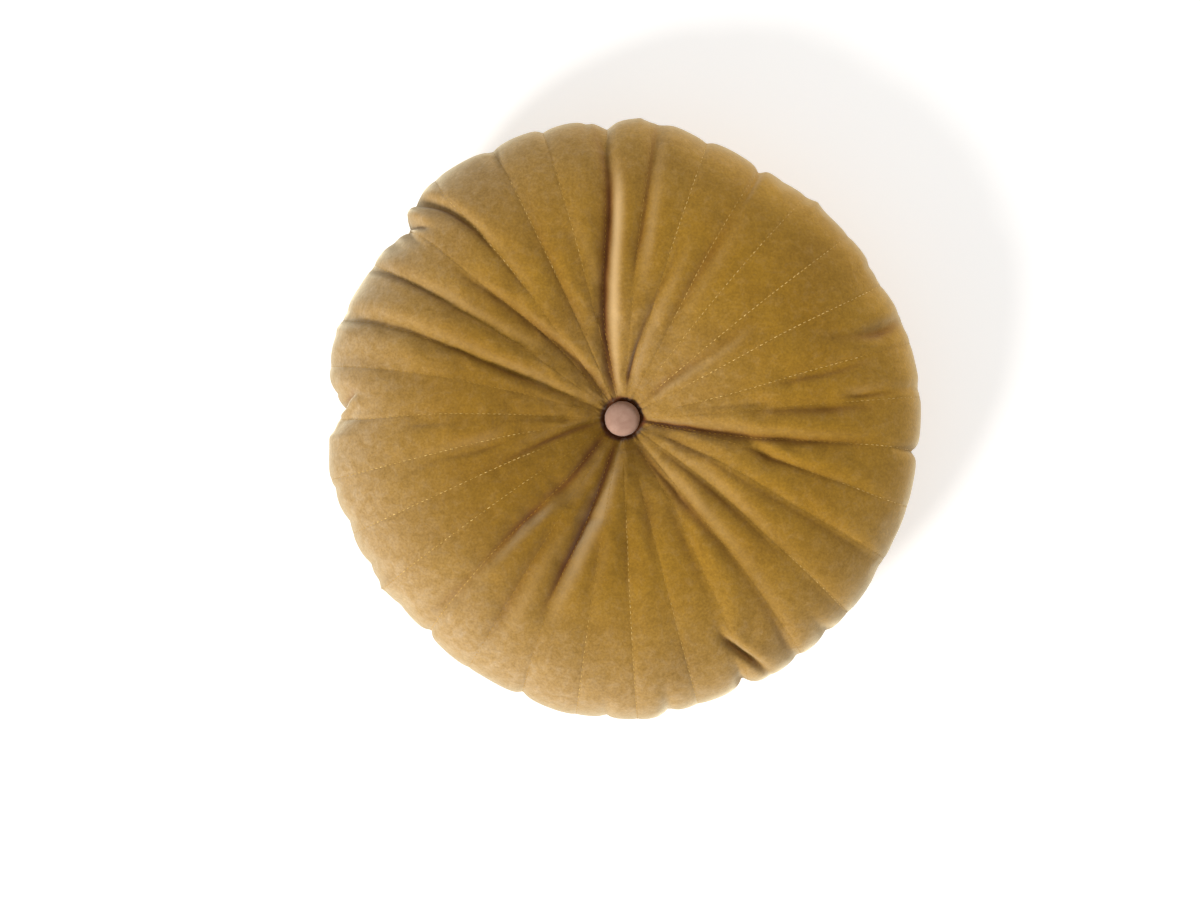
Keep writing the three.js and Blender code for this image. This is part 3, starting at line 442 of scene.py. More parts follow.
def settle():
    """Fills the cover: a coarser copy of it is inflated between its sewn lines by the cloth solver.
    Returns the columns, rows and movement in mm of the copy."""
    at = section_rows(58, 16, 20)
    u = column_values(12, 0.2)
    p, _, _ = cover_points(u, at, detail=False)
    rows, columns = p.shape[:2]
    flat = np.concatenate([p.reshape(-1, 3), [[0, 0, p[0, :, 2].mean()], [0, 0, p[-1, :, 2].mean()]]])
    quads, fans = grid_faces(rows, columns)
    ob = make_mesh("settling", flat * MM, quads, fans)
    hold = ob.vertex_groups.new(name="hold")
    f = u - np.floor(u)
    on_seam = np.minimum(f, 1 - f) < 1e-6
    weight = np.zeros((rows, columns))
    weight[:, on_seam] = 0.85
    weight[(at["r"] < 19)] = 1.0
    weight[(at["z"] < 0.6) & at["over"]] = 1.0
    weight = np.concatenate([weight.reshape(-1), [1.0, 1.0]])
    for w in (0.85, 1.0):
        hold.add([int(k) for k in np.nonzero(weight == w)[0]], w, "REPLACE")
    # The cover has a little more cloth at the rim, where each channel is full, than on the face.
    taut = ob.vertex_groups.new(name="taut")
    for k in range(rows):
        share = float(np.interp(at["s"][k] - at["s_rim"], [-70.0, -15.0, 30.0, 60.0], [FACE_TAUT, RIM_TAUT, RIM_TAUT, 0.6]))
        if share > 0:
            taut.add(list(range(k * columns, (k + 1) * columns)), share, "REPLACE")
    cloth = ob.modifiers.new("Cloth", "CLOTH")
    st = cloth.settings
    st.quality = 5
    st.mass = 0.25
    st.use_pressure = True
    st.uniform_pressure_force = 4.0
    st.tension_stiffness = st.compression_stiffness = 15.0
    st.shear_stiffness = 5.0
    st.bending_stiffness = 0.5
    st.vertex_group_shrink = "taut"
    st.shrink_min, st.shrink_max = -SPARE_CLOTH, 0.0
    st.vertex_group_mass = "hold"
    st.pin_stiffness = 1.0
    st.effector_weights.gravity = 0.0
    cloth.collision_settings.use_collision = False
    cloth.point_cache.frame_start, cloth.point_cache.frame_end = 1, 20
    for k in range(1, 21):
        scene.frame_set(k)
    bpy.context.view_layer.update()
    got = ob.evaluated_get(bpy.context.evaluated_depsgraph_get()).to_mesh()
    co = np.zeros(len(got.vertices) * 3, np.float32)
    got.vertices.foreach_get("co", co)
    moved = co.reshape(-1, 3)[:-2].astype(float) / MM - flat[:-2]
    ob.evaluated_get(bpy.context.evaluated_depsgraph_get()).to_mesh_clear()
    scene.frame_set(1)
    data = ob.data
    bpy.data.objects.remove(ob)
    bpy.data.meshes.remove(data)
    size = np.linalg.norm(moved, axis=1, keepdims=True)
    by_row = size.reshape(rows, columns)
    for name, rows_in in (("face", at["reach"] < 0.8), ("rim", (at["reach"] >= 0.8) & (at["reach"] < 1.2)), ("back", at["reach"] >= 1.2)):
        print("settle:", name, "median", round(float(np.median(by_row[rows_in])), 2), "largest", round(float(by_row[rows_in].max()), 2))
    cap = 5.0
    moved = moved * (cap * np.tanh(size / cap) / np.maximum(size, 1e-6))
    return u, at["s"], moved.reshape(rows, columns, 3)


def resample(values, u0, s0, u1, s1):
    """Values of the coarse grid at the fine grid's columns and rows."""
    around = np.concatenate([u0 - NS, u0, u0 + NS])
    tiled = np.concatenate([values, values, values], 1)
    by_col = np.empty((values.shape[0], len(u1), values.shape[2]))
    for c in range(values.shape[2]):
        for k in range(values.shape[0]):
            by_col[k, :, c] = np.interp(u1, around, tiled[k, :, c])
    out = np.empty((len(s1), len(u1), values.shape[2]))
    j = np.clip(np.searchsorted(s0, s1) - 1, 0, len(s0) - 2)
    t = np.clip((s1 - s0[j]) / (s0[j + 1] - s0[j]), 0, 1)
    t = (t * t * (3 - 2 * t))[:, None, None] * 0.5 + t[:, None, None] * 0.5
    out[:] = by_col[j] * (1 - t) + by_col[j + 1] * t
    return out


# The buttons' own axis is the middle of the face.
blo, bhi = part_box("front_button")
AXIS = np.array([(blo.x + bhi.x) / 2, (blo.y + bhi.y) / 2, 0.0])
klo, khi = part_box("back_button")

PER_CHANNEL, CROWD = 24, 0.42
u = column_values(PER_CHANNEL, CROWD)
at = section_rows(79, 24, 24)
points, painted_crease_shade, painted_roll_highlight = cover_points(u, at)
su, ss, moved = settle()
# The dent at a sewn line is a little rounder than the copy's columns can show.
moved = 0.5 * moved + 0.25 * (np.roll(moved, 1, 1) + np.roll(moved, -1, 1))
points = points + resample(moved, su, ss, u, at["s"])
flat_rows = (at["z"] < 0.02) & at["over"]
points[..., 2] = np.maximum(points[..., 2], 0.0)
rows, columns = points.shape[:2]
flat = np.concatenate([points.reshape(-1, 3), [[0, 0, points[0, :, 2].mean()], [0, 0, points[-1, :, 2].mean()]]])
quads, fans = grid_faces(rows, columns)
pillow = make_mesh("pillow_cover", flat * MM + AXIS, quads, fans)
for poly in pillow.data.polygons:
    poly.use_smooth = True
# Painted shade in the creases, along the sewn lines and round the buttons, as a point value.
crease_shade_value = pillow.data.attributes.new("crease", "FLOAT", "POINT")
crease_shade_value.data.foreach_set("value", np.concatenate([painted_crease_shade.reshape(-1), [0.0, 0.0]]).astype(np.float32))

# Painted light in the velvet's colour: painted sheen where the cover turns down at its rim on the
# side the key light comes from and on the inner slope on the other side, painted highlights on the
# rolls of the folds, and painted shade on the inner slope of the first side.
heading = np.arctan2(points[..., 1], points[..., 0])
reach = at["reach"][:, None]
# How far each direction faces the side the key light comes from.
lit_side_share = np.clip(0.5 + 0.6 * np.cos(heading - math.radians(PAINTED_LIGHT_SIDE)), 0.0, 1.0)
rim_painted_sheen = np.interp(reach, PAINTED_LIGHT_REACH, RIM_PAINTED_SHEEN) * (0.08 + 0.92 * lit_side_share)
inner_painted_sheen = np.interp(reach, PAINTED_LIGHT_REACH, INNER_PAINTED_SHEEN) * np.clip(0.5 + 0.5 * np.cos(heading - math.radians(INNER_SHEEN_SIDE)), 0.0, 1.0)
painted_sheen = rim_painted_sheen + inner_painted_sheen
# Painted highlight on the rolls of the folds.
roll_highlight_value = pillow.data.attributes.new("roll_highlight", "FLOAT", "POINT")
roll_highlight_value.data.foreach_set("value", np.concatenate([np.clip(painted_roll_highlight, 0, 1.2).reshape(-1), [0.0, 0.0]]).astype(np.float32))
# Painted shade on the inner slope on the side the key light comes from, where the slope faces away from it.
tone = np.interp(reach, PAINTED_LIGHT_REACH, INNER_PAINTED_SHADE) * np.clip(np.cos(heading - math.radians(PAINTED_LIGHT_SIDE)), 0.0, 1.0)
# Painted light: the rim is made brighter on the side away from the key light.
lit = 1 + np.interp(reach, PAINTED_LIGHT_REACH, RIM_PAINTED_LIGHT) * (1 - lit_side_share)
lit_value = pillow.data.attributes.new("lit", "FLOAT", "POINT")
lit_value.data.foreach_set("value", np.concatenate([lit.reshape(-1), [1.0, 1.0]]).astype(np.float32))
inner_shade_value = pillow.data.attributes.new("tone", "FLOAT", "POINT")
inner_shade_value.data.foreach_set("value", np.concatenate([tone.reshape(-1), [0.0, 0.0]]).astype(np.float32))
# Painted sheen on the lit rim and the lit inner slope.
painted_sheen_value = pillow.data.attributes.new("painted_sheen", "FLOAT", "POINT")
painted_sheen_value.data.foreach_set("value", np.concatenate([painted_sheen.reshape(-1), [0.0, 0.0]]).astype(np.float32))

# Unwrapped as two discs: the face with its rim, and the back.
uv = pillow.data.uv_layers.new(name="OFBake")
loop_vertex = np.zeros(len(pillow.data.loops), np.int64)
pillow.data.loops.foreach_get("vertex_index", loop_vertex)
split_row = int(np.searchsorted(at["s"], at["s_rim"] + 40.0))
row_of = np.concatenate([np.repeat(np.arange(rows), columns), [0, rows - 1]])
theta_of = np.concatenate([(2 * np.pi * u / NS)[None, :].repeat(rows, 0).reshape(-1), [0, 0]])
s_of = np.concatenate([np.repeat(at["s"], columns), [0, at["s"][-1]]])
s_of[-2] = 0.0
s_face, s_back = at["s"][split_row], at["s"][-1] - at["s"][split_row]
face_uv = np.stack([0.345 + 0.335 * s_of / s_face * np.cos(theta_of), 0.345 + 0.335 * s_of / s_face * np.sin(theta_of)], 1)
back_s = (at["s"][-1] - s_of) / s_back
back_uv = np.stack([0.765 + 0.225 * back_s * np.cos(theta_of), 0.765 + 0.225 * back_s * np.sin(theta_of)], 1)
loops_per_poly = np.zeros(len(pillow.data.polygons), np.int64)
pillow.data.polygons.foreach_get("loop_total", loops_per_poly)
poly_of_loop = np.repeat(np.arange(len(loops_per_poly)), loops_per_poly)
poly_row = np.concatenate([np.repeat(np.arange(rows - 1), columns), np.zeros(columns, int), np.full(columns, rows - 2)])
on_face = poly_row[poly_of_loop] < split_row
values = np.where(on_face[:, None], face_uv[loop_vertex], back_uv[loop_vertex])
uv.data.foreach_set("uv", values.reshape(-1).astype(np.float32))

# ------------------------------------------------------------------------------------------
# Sewing threads: one short thread for each stitch, on the seam
# ------------------------------------------------------------------------------------------
STITCH, STITCH_GAP, THREAD_R = 2.2, 1.3, 0.30
# Where the stitches stand out pale from the pile: seam (counted as in SEAMS, from 0), and from
# which reach to which. Elsewhere the pile hides them.
SHOWN = [
    dict(seam=0, start=0.76, end=1.0, much=0.6),
    dict(seam=1, start=0.24, end=0.82, much=0.8),
    dict(seam=2, start=0.22, end=0.96, much=1.0),
    dict(seam=3, start=0.15, end=0.96, much=0.95),
    dict(seam=4, start=0.20, end=0.96, much=0.8),
    dict(seam=5, start=0.35, end=0.96, much=0.6),
    dict(seam=6, start=0.55, end=1.0, much=0.8),
    dict(seam=7, start=0.60, end=0.90, much=0.25),
    dict(seam=9, start=0.50, end=0.85, much=0.45),
    dict(seam=10, start=0.50, end=0.90, much=0.6),
    dict(seam=11, start=0.55, end=0.96, much=0.6),
    dict(seam=13, start=0.70, end=0.96, much=0.5),
    dict(seam=16, start=0.30, end=0.90, much=0.4),
    dict(seam=17, start=0.30, end=0.90, much=0.85),
    dict(seam=18, start=0.30, end=0.90, much=0.9),
    dict(seam=19, start=0.34, end=0.92, much=0.75),
    dict(seam=20, start=0.60, end=0.96, much=0.55),
    dict(seam=23, start=0.65, end=0.98, much=0.6),
    dict(seam=24, start=0.30, end=0.98, much=0.6),
    dict(seam=25, start=0.55, end=1.0, much=0.45),
    dict(seam=28, start=0.70, end=1.0, much=0.6),
    dict(seam=30, start=0.75, end=1.0, much=0.7),
    dict(seam=31, start=0.78, end=1.0, much=1.0),
]


def tube_pieces(starts, mids, ends, ups, radius, sides=6):
    """Short arched threads: each runs from its start over its middle to its end."""
    n = len(starts)
    ts = np.array([0.0, 0.12, 0.5, 0.88, 1.0])
    swell = np.array([0.35, 0.95, 1.0, 0.95, 0.35])
    rings = []
    along = ends - starts
    along /= np.maximum(np.linalg.norm(along, axis=1, keepdims=True), 1e-9)
    across = np.cross(along, ups)
    across /= np.maximum(np.linalg.norm(across, axis=1, keepdims=True), 1e-9)
    up = np.cross(across, along)
    phi = np.arange(sides) / sides * 2 * np.pi
    for t, w in zip(ts, swell):
        c = (1 - t) ** 2 * starts + 2 * t * (1 - t) * (2 * mids - 0.5 * (starts + ends)) + t * t * ends
        ring = c[:, None, :] + radius[:, None, None] * w * (np.cos(phi)[None, :, None] * across[:, None, :] + np.sin(phi)[None, :, None] * up[:, None, :])
        rings.append(ring)
    verts = np.stack(rings, 1).reshape(n, -1, 3)
    per = verts.shape[1]
    j = np.arange(sides)
    k = (j + 1) % sides
    quads = np.concatenate([np.stack([r * sides + j, r * sides + k, (r + 1) * sides + k, (r + 1) * sides + j], 1) for r in range(len(ts) - 1)])
    last = (len(ts) - 1) * sides
    base = (np.arange(n) * per)[:, None, None]
    quads = (quads[None] + base).reshape(-1, 4)
    caps = [list(range(sides))[::-1], [last + a for a in range(sides)]]
    caps = [[a + b for a in cap] for b in (np.arange(n) * per).tolist() for cap in caps]
    return verts.reshape(-1, 3), quads, caps


def stitch_object(name, s_from, s_to, seed):
    rng = np.random.default_rng(seed)
    starts, mids, ends, ups, shown = [], [], [], [], []
    fine = np.arange(s_from, s_to, 0.25)
    for i in range(NS):
        line = points[:, i * PER_CHANNEL]
        left = points[:, (i * PER_CHANNEL - 2) % columns]
        right = points[:, (i * PER_CHANNEL + 2) % columns]
        across = right - left
        down = np.gradient(line, axis=0)
        normal = np.cross(down, across)
        normal /= np.maximum(np.linalg.norm(normal, axis=1, keepdims=True), 1e-9)
        c = np.stack([np.interp(fine, at["s"], line[:, k]) for k in range(3)], 1)
        nrm = np.stack([np.interp(fine, at["s"], normal[:, k]) for k in range(3)], 1)
        length = np.concatenate([[0], np.cumsum(np.linalg.norm(np.diff(c, axis=0), axis=1))])
        pos = 0.4 + rng.uniform(0, 1.5)
        while pos + STITCH < length[-1]:
            here = STITCH * rng.uniform(0.9, 1.08)
            t = [pos, pos + here / 2, pos + here]
            q = [np.array([np.interp(v, length, c[:, k]) for k in range(3)]) for v in t]
            m = np.array([np.interp(t[1], length, nrm[:, k]) for k in range(3)])
            m /= np.linalg.norm(m)
            side = np.cross(m, q[2] - q[0])
            side /= max(np.linalg.norm(side), 1e-9)
            wob = side * rng.normal(0, 0.10)
            reach = float(np.interp(pos + s_from, at["s"], at["reach"]))
            stands = max(
                [w["much"] * float(smoothstep(w["start"] - 0.05, w["start"] + 0.05, reach) * (1 - smoothstep(w["end"] - 0.05, w["end"] + 0.05, reach))) for w in SHOWN if w["seam"] == i]
                + [0.0]
            )
            stands *= rng.uniform(0.35, 1.0)
            lift = -0.16 + 0.20 * stands
            starts.append(q[0] + (lift - 0.12) * m + wob)
            mids.append(q[1] + (lift + 0.16) * m)
            ends.append(q[2] + (lift - 0.12) * m - wob)
            ups.append(m)
            shown.append(stands)
            pos += here + STITCH_GAP * rng.uniform(0.8, 1.25)
    shown = np.array(shown)
    thick = THREAD_R * (0.8 + 0.2 * shown)
    verts, quads, caps = tube_pieces(np.array(starts), np.array(mids), np.array(ends), np.array(ups), thick)
    verts[:, 2] = np.maximum(verts[:, 2], 0.0)
    mesh = bpy.data.meshes.new(name)
    mesh.from_pydata([tuple(v) for v in (verts * MM + AXIS).tolist()], [], quads.tolist() + caps)
    mesh.update()
    for poly in mesh.polygons:
        poly.use_smooth = True
    value = mesh.attributes.new("shown", "FLOAT", "POINT")
    value.data.foreach_set("value", np.repeat(shown, len(verts) // len(shown)).astype(np.float32))
    ob = bpy.data.objects.new(name, mesh)
    scene.collection.objects.link(ob)
    return ob


s_start = float(np.interp(17.0, at["r"][:60], at["s"][:60]))
face_thread = stitch_object("face_stitches", s_start, at["s_rim"] + 30.0, 11)
back_thread = stitch_object("back_stitches", at["s_rim"] + 30.0, at["s"][-1] - 18.0, 12)

# ------------------------------------------------------------------------------------------
# Covered buttons
# ------------------------------------------------------------------------------------------
BUTTON_SECTION = [(0.0, 0.0), (0.70, 0.0), (0.88, 0.06), (0.97, 0.2), (1.0, 0.38), (0.975, 0.56), (0.90, 0.72), (0.76, 0.86), (0.55, 0.95), (0.30, 0.99), (0.0, 1.0)]


def button_object(name, low_z, height, up, seed):
    """Cloth-covered domed button. Its cloth gathers in small tucks where it turns under the edge."""
    rng = np.random.default_rng(seed)
    ctrl = np.array(BUTTON_SECTION)
    along = np.concatenate([[0], np.cumsum(np.hypot(*np.diff(ctrl, axis=0).T))])
    s = np.linspace(0, along[-1], 34)
    prof = np.stack([np.interp(s, along, ctrl[:, 0]), np.interp(s, along, ctrl[:, 1])], 1)
    prof = blur(prof, 0.06, s[1] - s[0])
    prof[0], prof[-1] = (0, 0), (0, 1)
    sides = 96
    phi = np.arange(sides) / sides * 2 * np.pi
    tucks = sum(a * np.cos(m * phi + q) for m, a, q in zip((7, 11, 16, 23), (0.10, 0.10, 0.09, 0.06), rng.uniform(0, 6.28, 4)))
    edge = np.exp(-(((prof[:, 1] - 0.18) / 0.22) ** 2)) * (prof[:, 0] > 0.5)
    r = prof[:, None, 0] * BUTTON_R * 0.985 + edge[:, None] * tucks[None, :]
    r = np.minimum(r, BUTTON_R)
    z = prof[:, None, 1] * height + 0 * r
    if up > 0:
        z = low_z + z
        order = phi
    else:
        z = low_z + height - z
        order = -phi
    p = np.stack([r * np.cos(order), r * np.sin(order), z], -1)
    inner = p[1:-1]
    n_rows, n_cols = inner.shape[:2]
    verts = np.concatenate([inner.reshape(-1, 3), p[0, :1], p[-1, :1]])
    quads, fans = grid_faces(n_rows, n_cols)
    quads, fans = quads[:, ::-1], fans[:, ::-1]
    ob = make_mesh(name, verts * MM + AXIS, quads, fans)
    for poly in ob.data.polygons:
        poly.use_smooth = True
    return ob


front_button = button_object("front_button_cover", blo.z / MM, (bhi.z - blo.z) / MM, 1, 5)
back_button = button_object("back_button_cover", klo.z / MM, (khi.z - klo.z) / MM, -1, 6)

# ------------------------------------------------------------------------------------------
# Materials
# ------------------------------------------------------------------------------------------


class Nodes:
    """Small helper to wire a node material."""

    def __init__(self, name):
        self.mat = bpy.data.materials.new(name)
        self.mat.use_nodes = True
        self.tree = self.mat.node_tree
        self.tree.nodes.clear()
        self.out = self.add("ShaderNodeOutputMaterial")
        self.bsdf = self.add("ShaderNodeBsdfPrincipled")
        self.link(self.bsdf, "BSDF", self.out, "Surface")

    def add(self, kind, **values):
        node = self.tree.nodes.new(kind)
        for key, value in values.items():
            if hasattr(node, key):
                setattr(node, key, value)
            else:
                node.inputs[key.replace("_", " ")].default_value = value
        return node

    def link(self, a, out, b, into):
        self.tree.links.new(a.outputs[out], b.inputs[into])

    def ramp(self, source, out, stops):
        node = self.add("ShaderNodeValToRGB")
        el = node.color_ramp.elements
        while len(el) < len(stops):
            el.new(0.5)
        for e, (pos, color) in zip(el, stops):
            e.position = pos
            e.color = (*color, 1.0) if len(color) == 3 else color
        self.link(source, out, node, "Fac")
        return node

    def mix(self, a, b, fac, mode="MIX"):
        node = self.add("ShaderNodeMix", data_type="RGBA", blend_type=mode)
        for socket, value in ((6, a), (7, b), (0, fac)):
            if isinstance(value, tuple) and hasattr(value[0], "outputs"):
                self.tree.links.new(value[0].outputs[value[1]], node.inputs[socket])
            elif isinstance(value, (int, float)):
                node.inputs[socket].default_value = value
            else:
                node.inputs[socket].default_value = (*value, 1.0)
        return node

    def math(self, op, a, b=None):
        node = self.add("ShaderNodeMath", operation=op)
        for k, value in enumerate((a, b)):
            if value is None:
                continue
            if isinstance(value, tuple):
                self.tree.links.new(value[0].outputs[value[1]], node.inputs[k])
            else:
                node.inputs[k].default_value = value
        return node


def lin(r, g, b):
    """8-bit display colour to linear."""
    return tuple((c / 255 / 12.92) if c / 255 <= 0.04045 else ((c / 255 + 0.055) / 1.055) ** 2.4 for c in (r, g, b))


def velvet_material():
    n = Nodes("ochre_velvet")
    coord = n.add("ShaderNodeTexCoord")
    # Patches where the pile lies another way, from a few millimetres to a few centimetres wide.
    nap = n.add("ShaderNodeTexNoise", Scale=34.0, Detail=6.0, Roughness=0.62, Distortion=0.3)
    n.link(coord, "Object", nap, "Vector")
    patch = n.add("ShaderNodeTexNoise", Scale=11.0, Detail=3.0, Roughness=0.5)
    n.link(coord, "Object", patch, "Vector")
    mottle = n.add("ShaderNodeTexNoise", Scale=150.0, Detail=5.0, Roughness=0.68, Distortion=0.5)
    n.link(coord, "Object", mottle, "Vector")
    fine = n.add("ShaderNodeTexNoise", Scale=620.0, Detail=2.0, Roughness=0.6)
    n.link(coord, "Object", fine, "Vector")
    a = n.ramp(nap, "Fac", [(0.30, lin(136, 98, 15)), (0.70, lin(155, 116, 24))])
    b = n.ramp(patch, "Fac", [(0.30, lin(136, 99, 15)), (0.70, lin(154, 114, 24))])
    base = n.mix((a, "Color"), (b, "Color"), 0.5)
    # Painted sheen on the lit rim and the lit inner slope: mixed towards a pale beige, its amount broken up by noise,
    # with pale flecks at random added everywhere.
    painted_sheen = n.add("ShaderNodeAttribute", attribute_name="painted_sheen")
    flecks = n.ramp(mottle, "Fac", [(0.30, (0.68, 0.68, 0.68)), (0.70, (1.25, 1.25, 1.25))])
    amount = n.math("MULTIPLY", (painted_sheen, "Fac"), (flecks, "Color"))
    amount = n.math("ADD", (amount, "Value"), (n.ramp(mottle, "Fac", [(0.50, (0.0, 0.0, 0.0)), (0.74, (0.13, 0.13, 0.13))]), "Color"))
    base = n.mix((base, 2), lin(160, 139, 108), (amount, "Value"))
    grain = n.ramp(mottle, "Fac", [(0.28, (0.86, 0.85, 0.80)), (0.50, (1.0, 1.0, 1.0)), (0.74, (1.08, 1.08, 1.08))])
    base = n.mix((base, 2), (grain, "Color"), 1.0, "MULTIPLY")
    grain = n.ramp(fine, "Fac", [(0.25, (0.80, 0.80, 0.80)), (0.75, (1.16, 1.16, 1.16))])
    base = n.mix((base, 2), (grain, "Color"), 1.0, "MULTIPLY")
    # Painted highlight on the rolls of the folds: mixed towards a pale buff.
    roll_highlight_attr = n.add("ShaderNodeAttribute", attribute_name="roll_highlight")
    amount = n.math("MULTIPLY", (roll_highlight_attr, "Fac"), 0.6)
    base = n.mix((base, 2), lin(216, 184, 134), (amount, "Value"))
    # Painted light: the colour is made brighter on the rim away from the key light.
    lit = n.add("ShaderNodeAttribute", attribute_name="lit")
    base = n.mix((base, 2), (lit, "Fac"), 1.0, "MULTIPLY")
    # Painted shade on the inner slope: mixed towards a deep brown.
    tone = n.add("ShaderNodeAttribute", attribute_name="tone")
    base = n.mix((base, 2), lin(96, 60, 8), (tone, "Fac"))
    # Painted shade in the creases, along the sewn lines and round the buttons: mixed towards a deep reddish brown.
    crease = n.add("ShaderNodeAttribute", attribute_name="crease")
    amount = n.math("MULTIPLY", (crease, "Fac"), 0.85)
    base = n.mix((base, 2), lin(94, 46, 14), (amount, "Value"))
    n.link(base, 2, n.bsdf, "Base Color")
    s = n.bsdf.inputs
    s["Roughness"].default_value = 0.85
    s["Specular IOR Level"].default_value = 0.2
    s["Sheen Weight"].default_value = 0.86
    s["Sheen Roughness"].default_value = 0.39
    s["Sheen Tint"].default_value = (1.0, 0.94, 0.72, 1.0)
    pile = n.add("ShaderNodeTexNoise", Scale=1500.0, Detail=2.0, Roughness=0.6)
    n.link(coord, "Object", pile, "Vector")
    bump = n.add("ShaderNodeBump", Strength=0.3, Distance=0.0003)
    n.link(pile, "Fac", bump, "Height")
    bump2 = n.add("ShaderNodeBump", Strength=0.3, Distance=0.0010)
    n.link(nap, "Fac", bump2, "Height")
    n.link(bump, "Normal", bump2, "Normal")
    bump3 = n.add("ShaderNodeBump", Strength=0.35, Distance=0.0006)
    n.link(mottle, "Fac", bump3, "Height")
    n.link(bump2, "Normal", bump3, "Normal")
    n.link(bump3, "Normal", n.bsdf, "Normal")
    return n.mat


def thread_material():
    n = Nodes("gold_thread")
    coord = n.add("ShaderNodeTexCoord")
    # Most stitches are the velvet's own colour; some stand out pale.
    tone = n.add("ShaderNodeTexNoise", Scale=260.0, Detail=2.0, Roughness=0.6)
    n.link(coord, "Object", tone, "Vector")
    own = n.ramp(tone, "Fac", [(0.35, lin(146, 108, 24)), (0.65, lin(164, 126, 40))])
    gold = n.ramp(tone, "Fac", [(0.35, lin(196, 158, 82)), (0.65, lin(236, 204, 132))])
    shown = n.add("ShaderNodeAttribute", attribute_name="shown")
    c = n.mix((own, "Color"), (gold, "Color"), (shown, "Fac"))
    n.link(c, 2, n.bsdf, "Base Color")
    ply = n.add("ShaderNodeTexNoise", Scale=3000.0, Detail=1.0)
    n.link(coord, "Object", ply, "Vector")
    bump = n.add("ShaderNodeBump", Strength=0.4, Distance=0.0001)
    n.link(ply, "Fac", bump, "Height")
    n.link(bump, "Normal", n.bsdf, "Normal")
    s = n.bsdf.inputs
    s["Roughness"].default_value = 0.6
    s["Specular IOR Level"].default_value = 0.3
    return n.mat


def button_material():
    n = Nodes("pink_weave")
    coord = n.add("ShaderNodeTexCoord")
    # Plain weave: two sets of threads, each over where the other goes under.
    warp = n.add("ShaderNodeTexWave", wave_type="BANDS", bands_direction="X", Scale=420.0, Distortion=0.6, Detail=1.0, Detail_Scale=2.0)
    weft = n.add("ShaderNodeTexWave", wave_type="BANDS", bands_direction="Y", Scale=420.0, Distortion=0.6, Detail=1.0, Detail_Scale=2.0)
    for w in (warp, weft):
        n.link(coord, "Object", w, "Vector")
    weave = n.math("MULTIPLY", (warp, "Fac"), (weft, "Fac"))
    tone = n.add("ShaderNodeTexNoise", Scale=180.0, Detail=4.0, Roughness=0.6)
    n.link(coord, "Object", tone, "Vector")
    c = n.ramp(tone, "Fac", [(0.3, lin(164, 128, 110)), (0.7, lin(186, 152, 134))])
    dark = n.mix((c, "Color"), lin(142, 106, 90), 0.0)
    n.tree.links.new(n.ramp(weave, "Value", [(0.0, (0.45, 0.45, 0.45)), (0.5, (0.0, 0.0, 0.0))]).outputs["Color"], dark.inputs[0])
    n.link(dark, 2, n.bsdf, "Base Color")
    bump = n.add("ShaderNodeBump", Strength=0.5, Distance=0.0002)
    n.link(weave, "Value", bump, "Height")
    n.link(bump, "Normal", n.bsdf, "Normal")
    s = n.bsdf.inputs
    s["Roughness"].default_value = 0.85
    s["Specular IOR Level"].default_value = 0.3
    s["Sheen Weight"].default_value = 0.25
    s["Sheen Roughness"].default_value = 0.5
    return n.mat


velvet = velvet_material()
thread = thread_material()
weave = button_material()
pillow.data.materials.append(velvet)
for ob in (face_thread, back_thread):
    ob.data.materials.append(thread)
for ob in (front_button, back_button):
    ob.data.materials.append(weave)

for ob in (pillow, face_thread, back_thread, front_button, back_button):
    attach(ob, "root")
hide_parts("cushion")
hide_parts("front_button")
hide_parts("back_button")

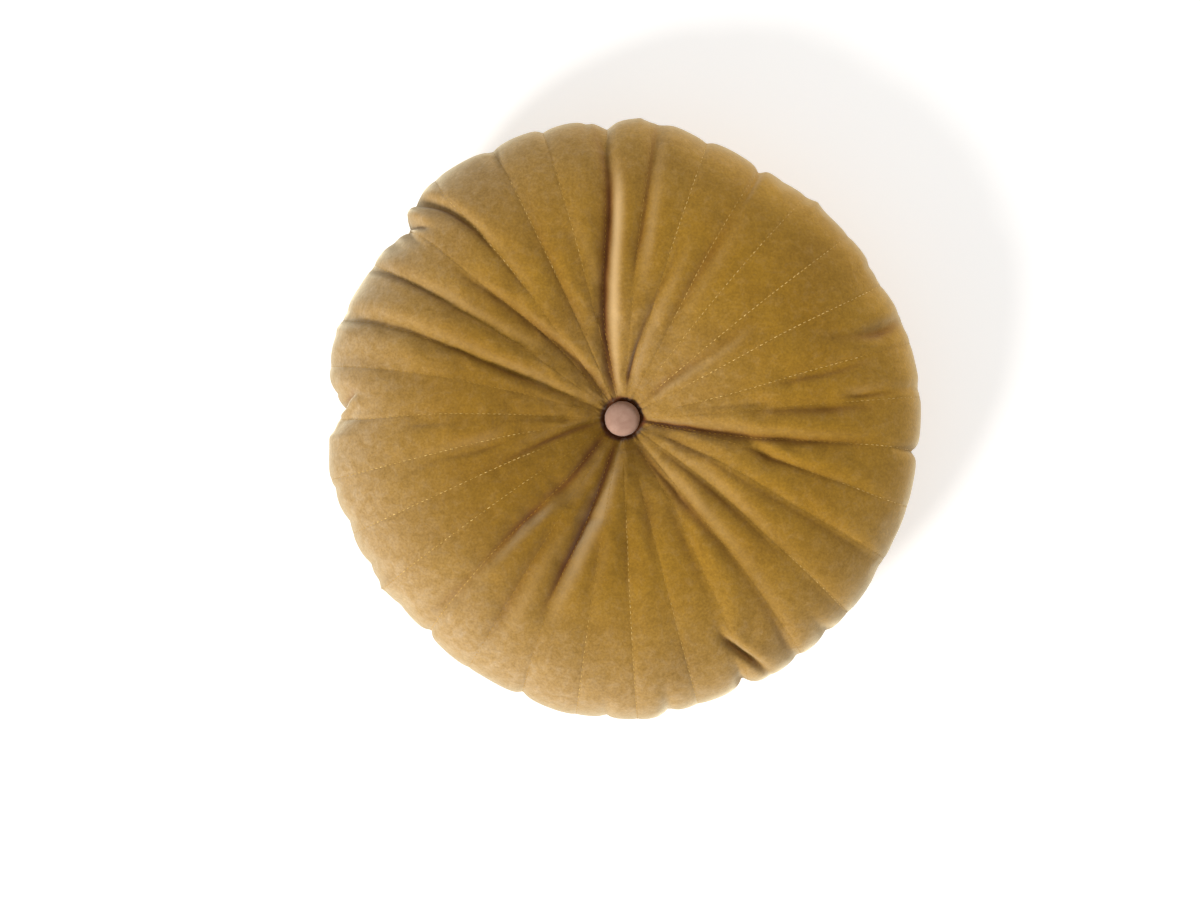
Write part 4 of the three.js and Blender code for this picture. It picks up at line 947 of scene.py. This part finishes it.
# ------------------------------------------------------------------------------------------
# Floor, light and camera
# ------------------------------------------------------------------------------------------
floor_mesh = bpy.data.meshes.new("floor")
floor_mesh.from_pydata([(-3, -3, -0.0002), (3, -3, -0.0002), (3, 3, -0.0002), (-3, 3, -0.0002)], [], [(0, 1, 2, 3)])
floor = bpy.data.objects.new("floor", floor_mesh)
scene.collection.objects.link(floor)
fn = Nodes("pale_floor")
fcoord = fn.add("ShaderNodeTexCoord")
fnoise = fn.add("ShaderNodeTexNoise", Scale=3.0, Detail=3.0)
fn.link(fcoord, "Object", fnoise, "Vector")
fc = fn.ramp(fnoise, "Fac", [(0.3, (0.86, 0.86, 0.86)), (0.7, (0.9, 0.9, 0.9))])
fn.link(fc, "Color", fn.bsdf, "Base Color")
fn.bsdf.inputs["Roughness"].default_value = 0.9
# A faintly lit floor, as on a studio's light table, keeps the shadow pale.
fn.bsdf.inputs["Emission Color"].default_value = (1.0, 1.0, 1.0, 1.0)
fn.bsdf.inputs["Emission Strength"].default_value = 0.4
floor.data.materials.append(fn.mat)

world = bpy.data.worlds.new("studio")
scene.world = world
world.use_nodes = True
world.node_tree.nodes["Background"].inputs["Color"].default_value = (1.0, 0.985, 0.96, 1.0)
world.node_tree.nodes["Background"].inputs["Strength"].default_value = 0.42


def area_light(name, position, target, size, power, color):
    data = bpy.data.lights.new(name, "AREA")
    data.shape = "DISK"
    data.size = size
    data.energy = power
    data.color = color
    ob = bpy.data.objects.new(name, data)
    scene.collection.objects.link(ob)
    ob.location = position
    ob.rotation_euler = (Vector(target) - Vector(position)).to_track_quat("-Z", "Y").to_euler()
    return ob


area_light("window", (-1.4, -1.4, 1.25), (0, 0, 0.05), 0.8, 70.0, (1.0, 0.97, 0.93))
area_light("fill", (1.3, 1.7, 0.55), (0, 0, 0.05), 1.0, 26.0, (1.0, 0.98, 0.96))

# The photograph looks straight down on the face: 0.677 mm a pixel in a 1200 x 900 frame, with
# the button at pixel (622, 419).
MM_PER_PIXEL = 0.677
camera_data = bpy.data.cameras.new("camera")
camera_data.sensor_width = 36.0
DISTANCE = 2.0
camera_data.lens = 36.0 * DISTANCE / (1200 * MM_PER_PIXEL * MM)
camera_data.clip_start, camera_data.clip_end = 0.05, 20.0
camera = bpy.data.objects.new("camera", camera_data)
scene.collection.objects.link(camera)
camera.location = (
    AXIS[0] * 1 - (622 - 600) * MM_PER_PIXEL * MM,
    AXIS[1] * 1 - (450 - 419) * MM_PER_PIXEL * MM,
    0.05 + DISTANCE,
)
camera.rotation_euler = (0, 0, 0)
scene.camera = camera
scene.view_settings.view_transform = "Standard"
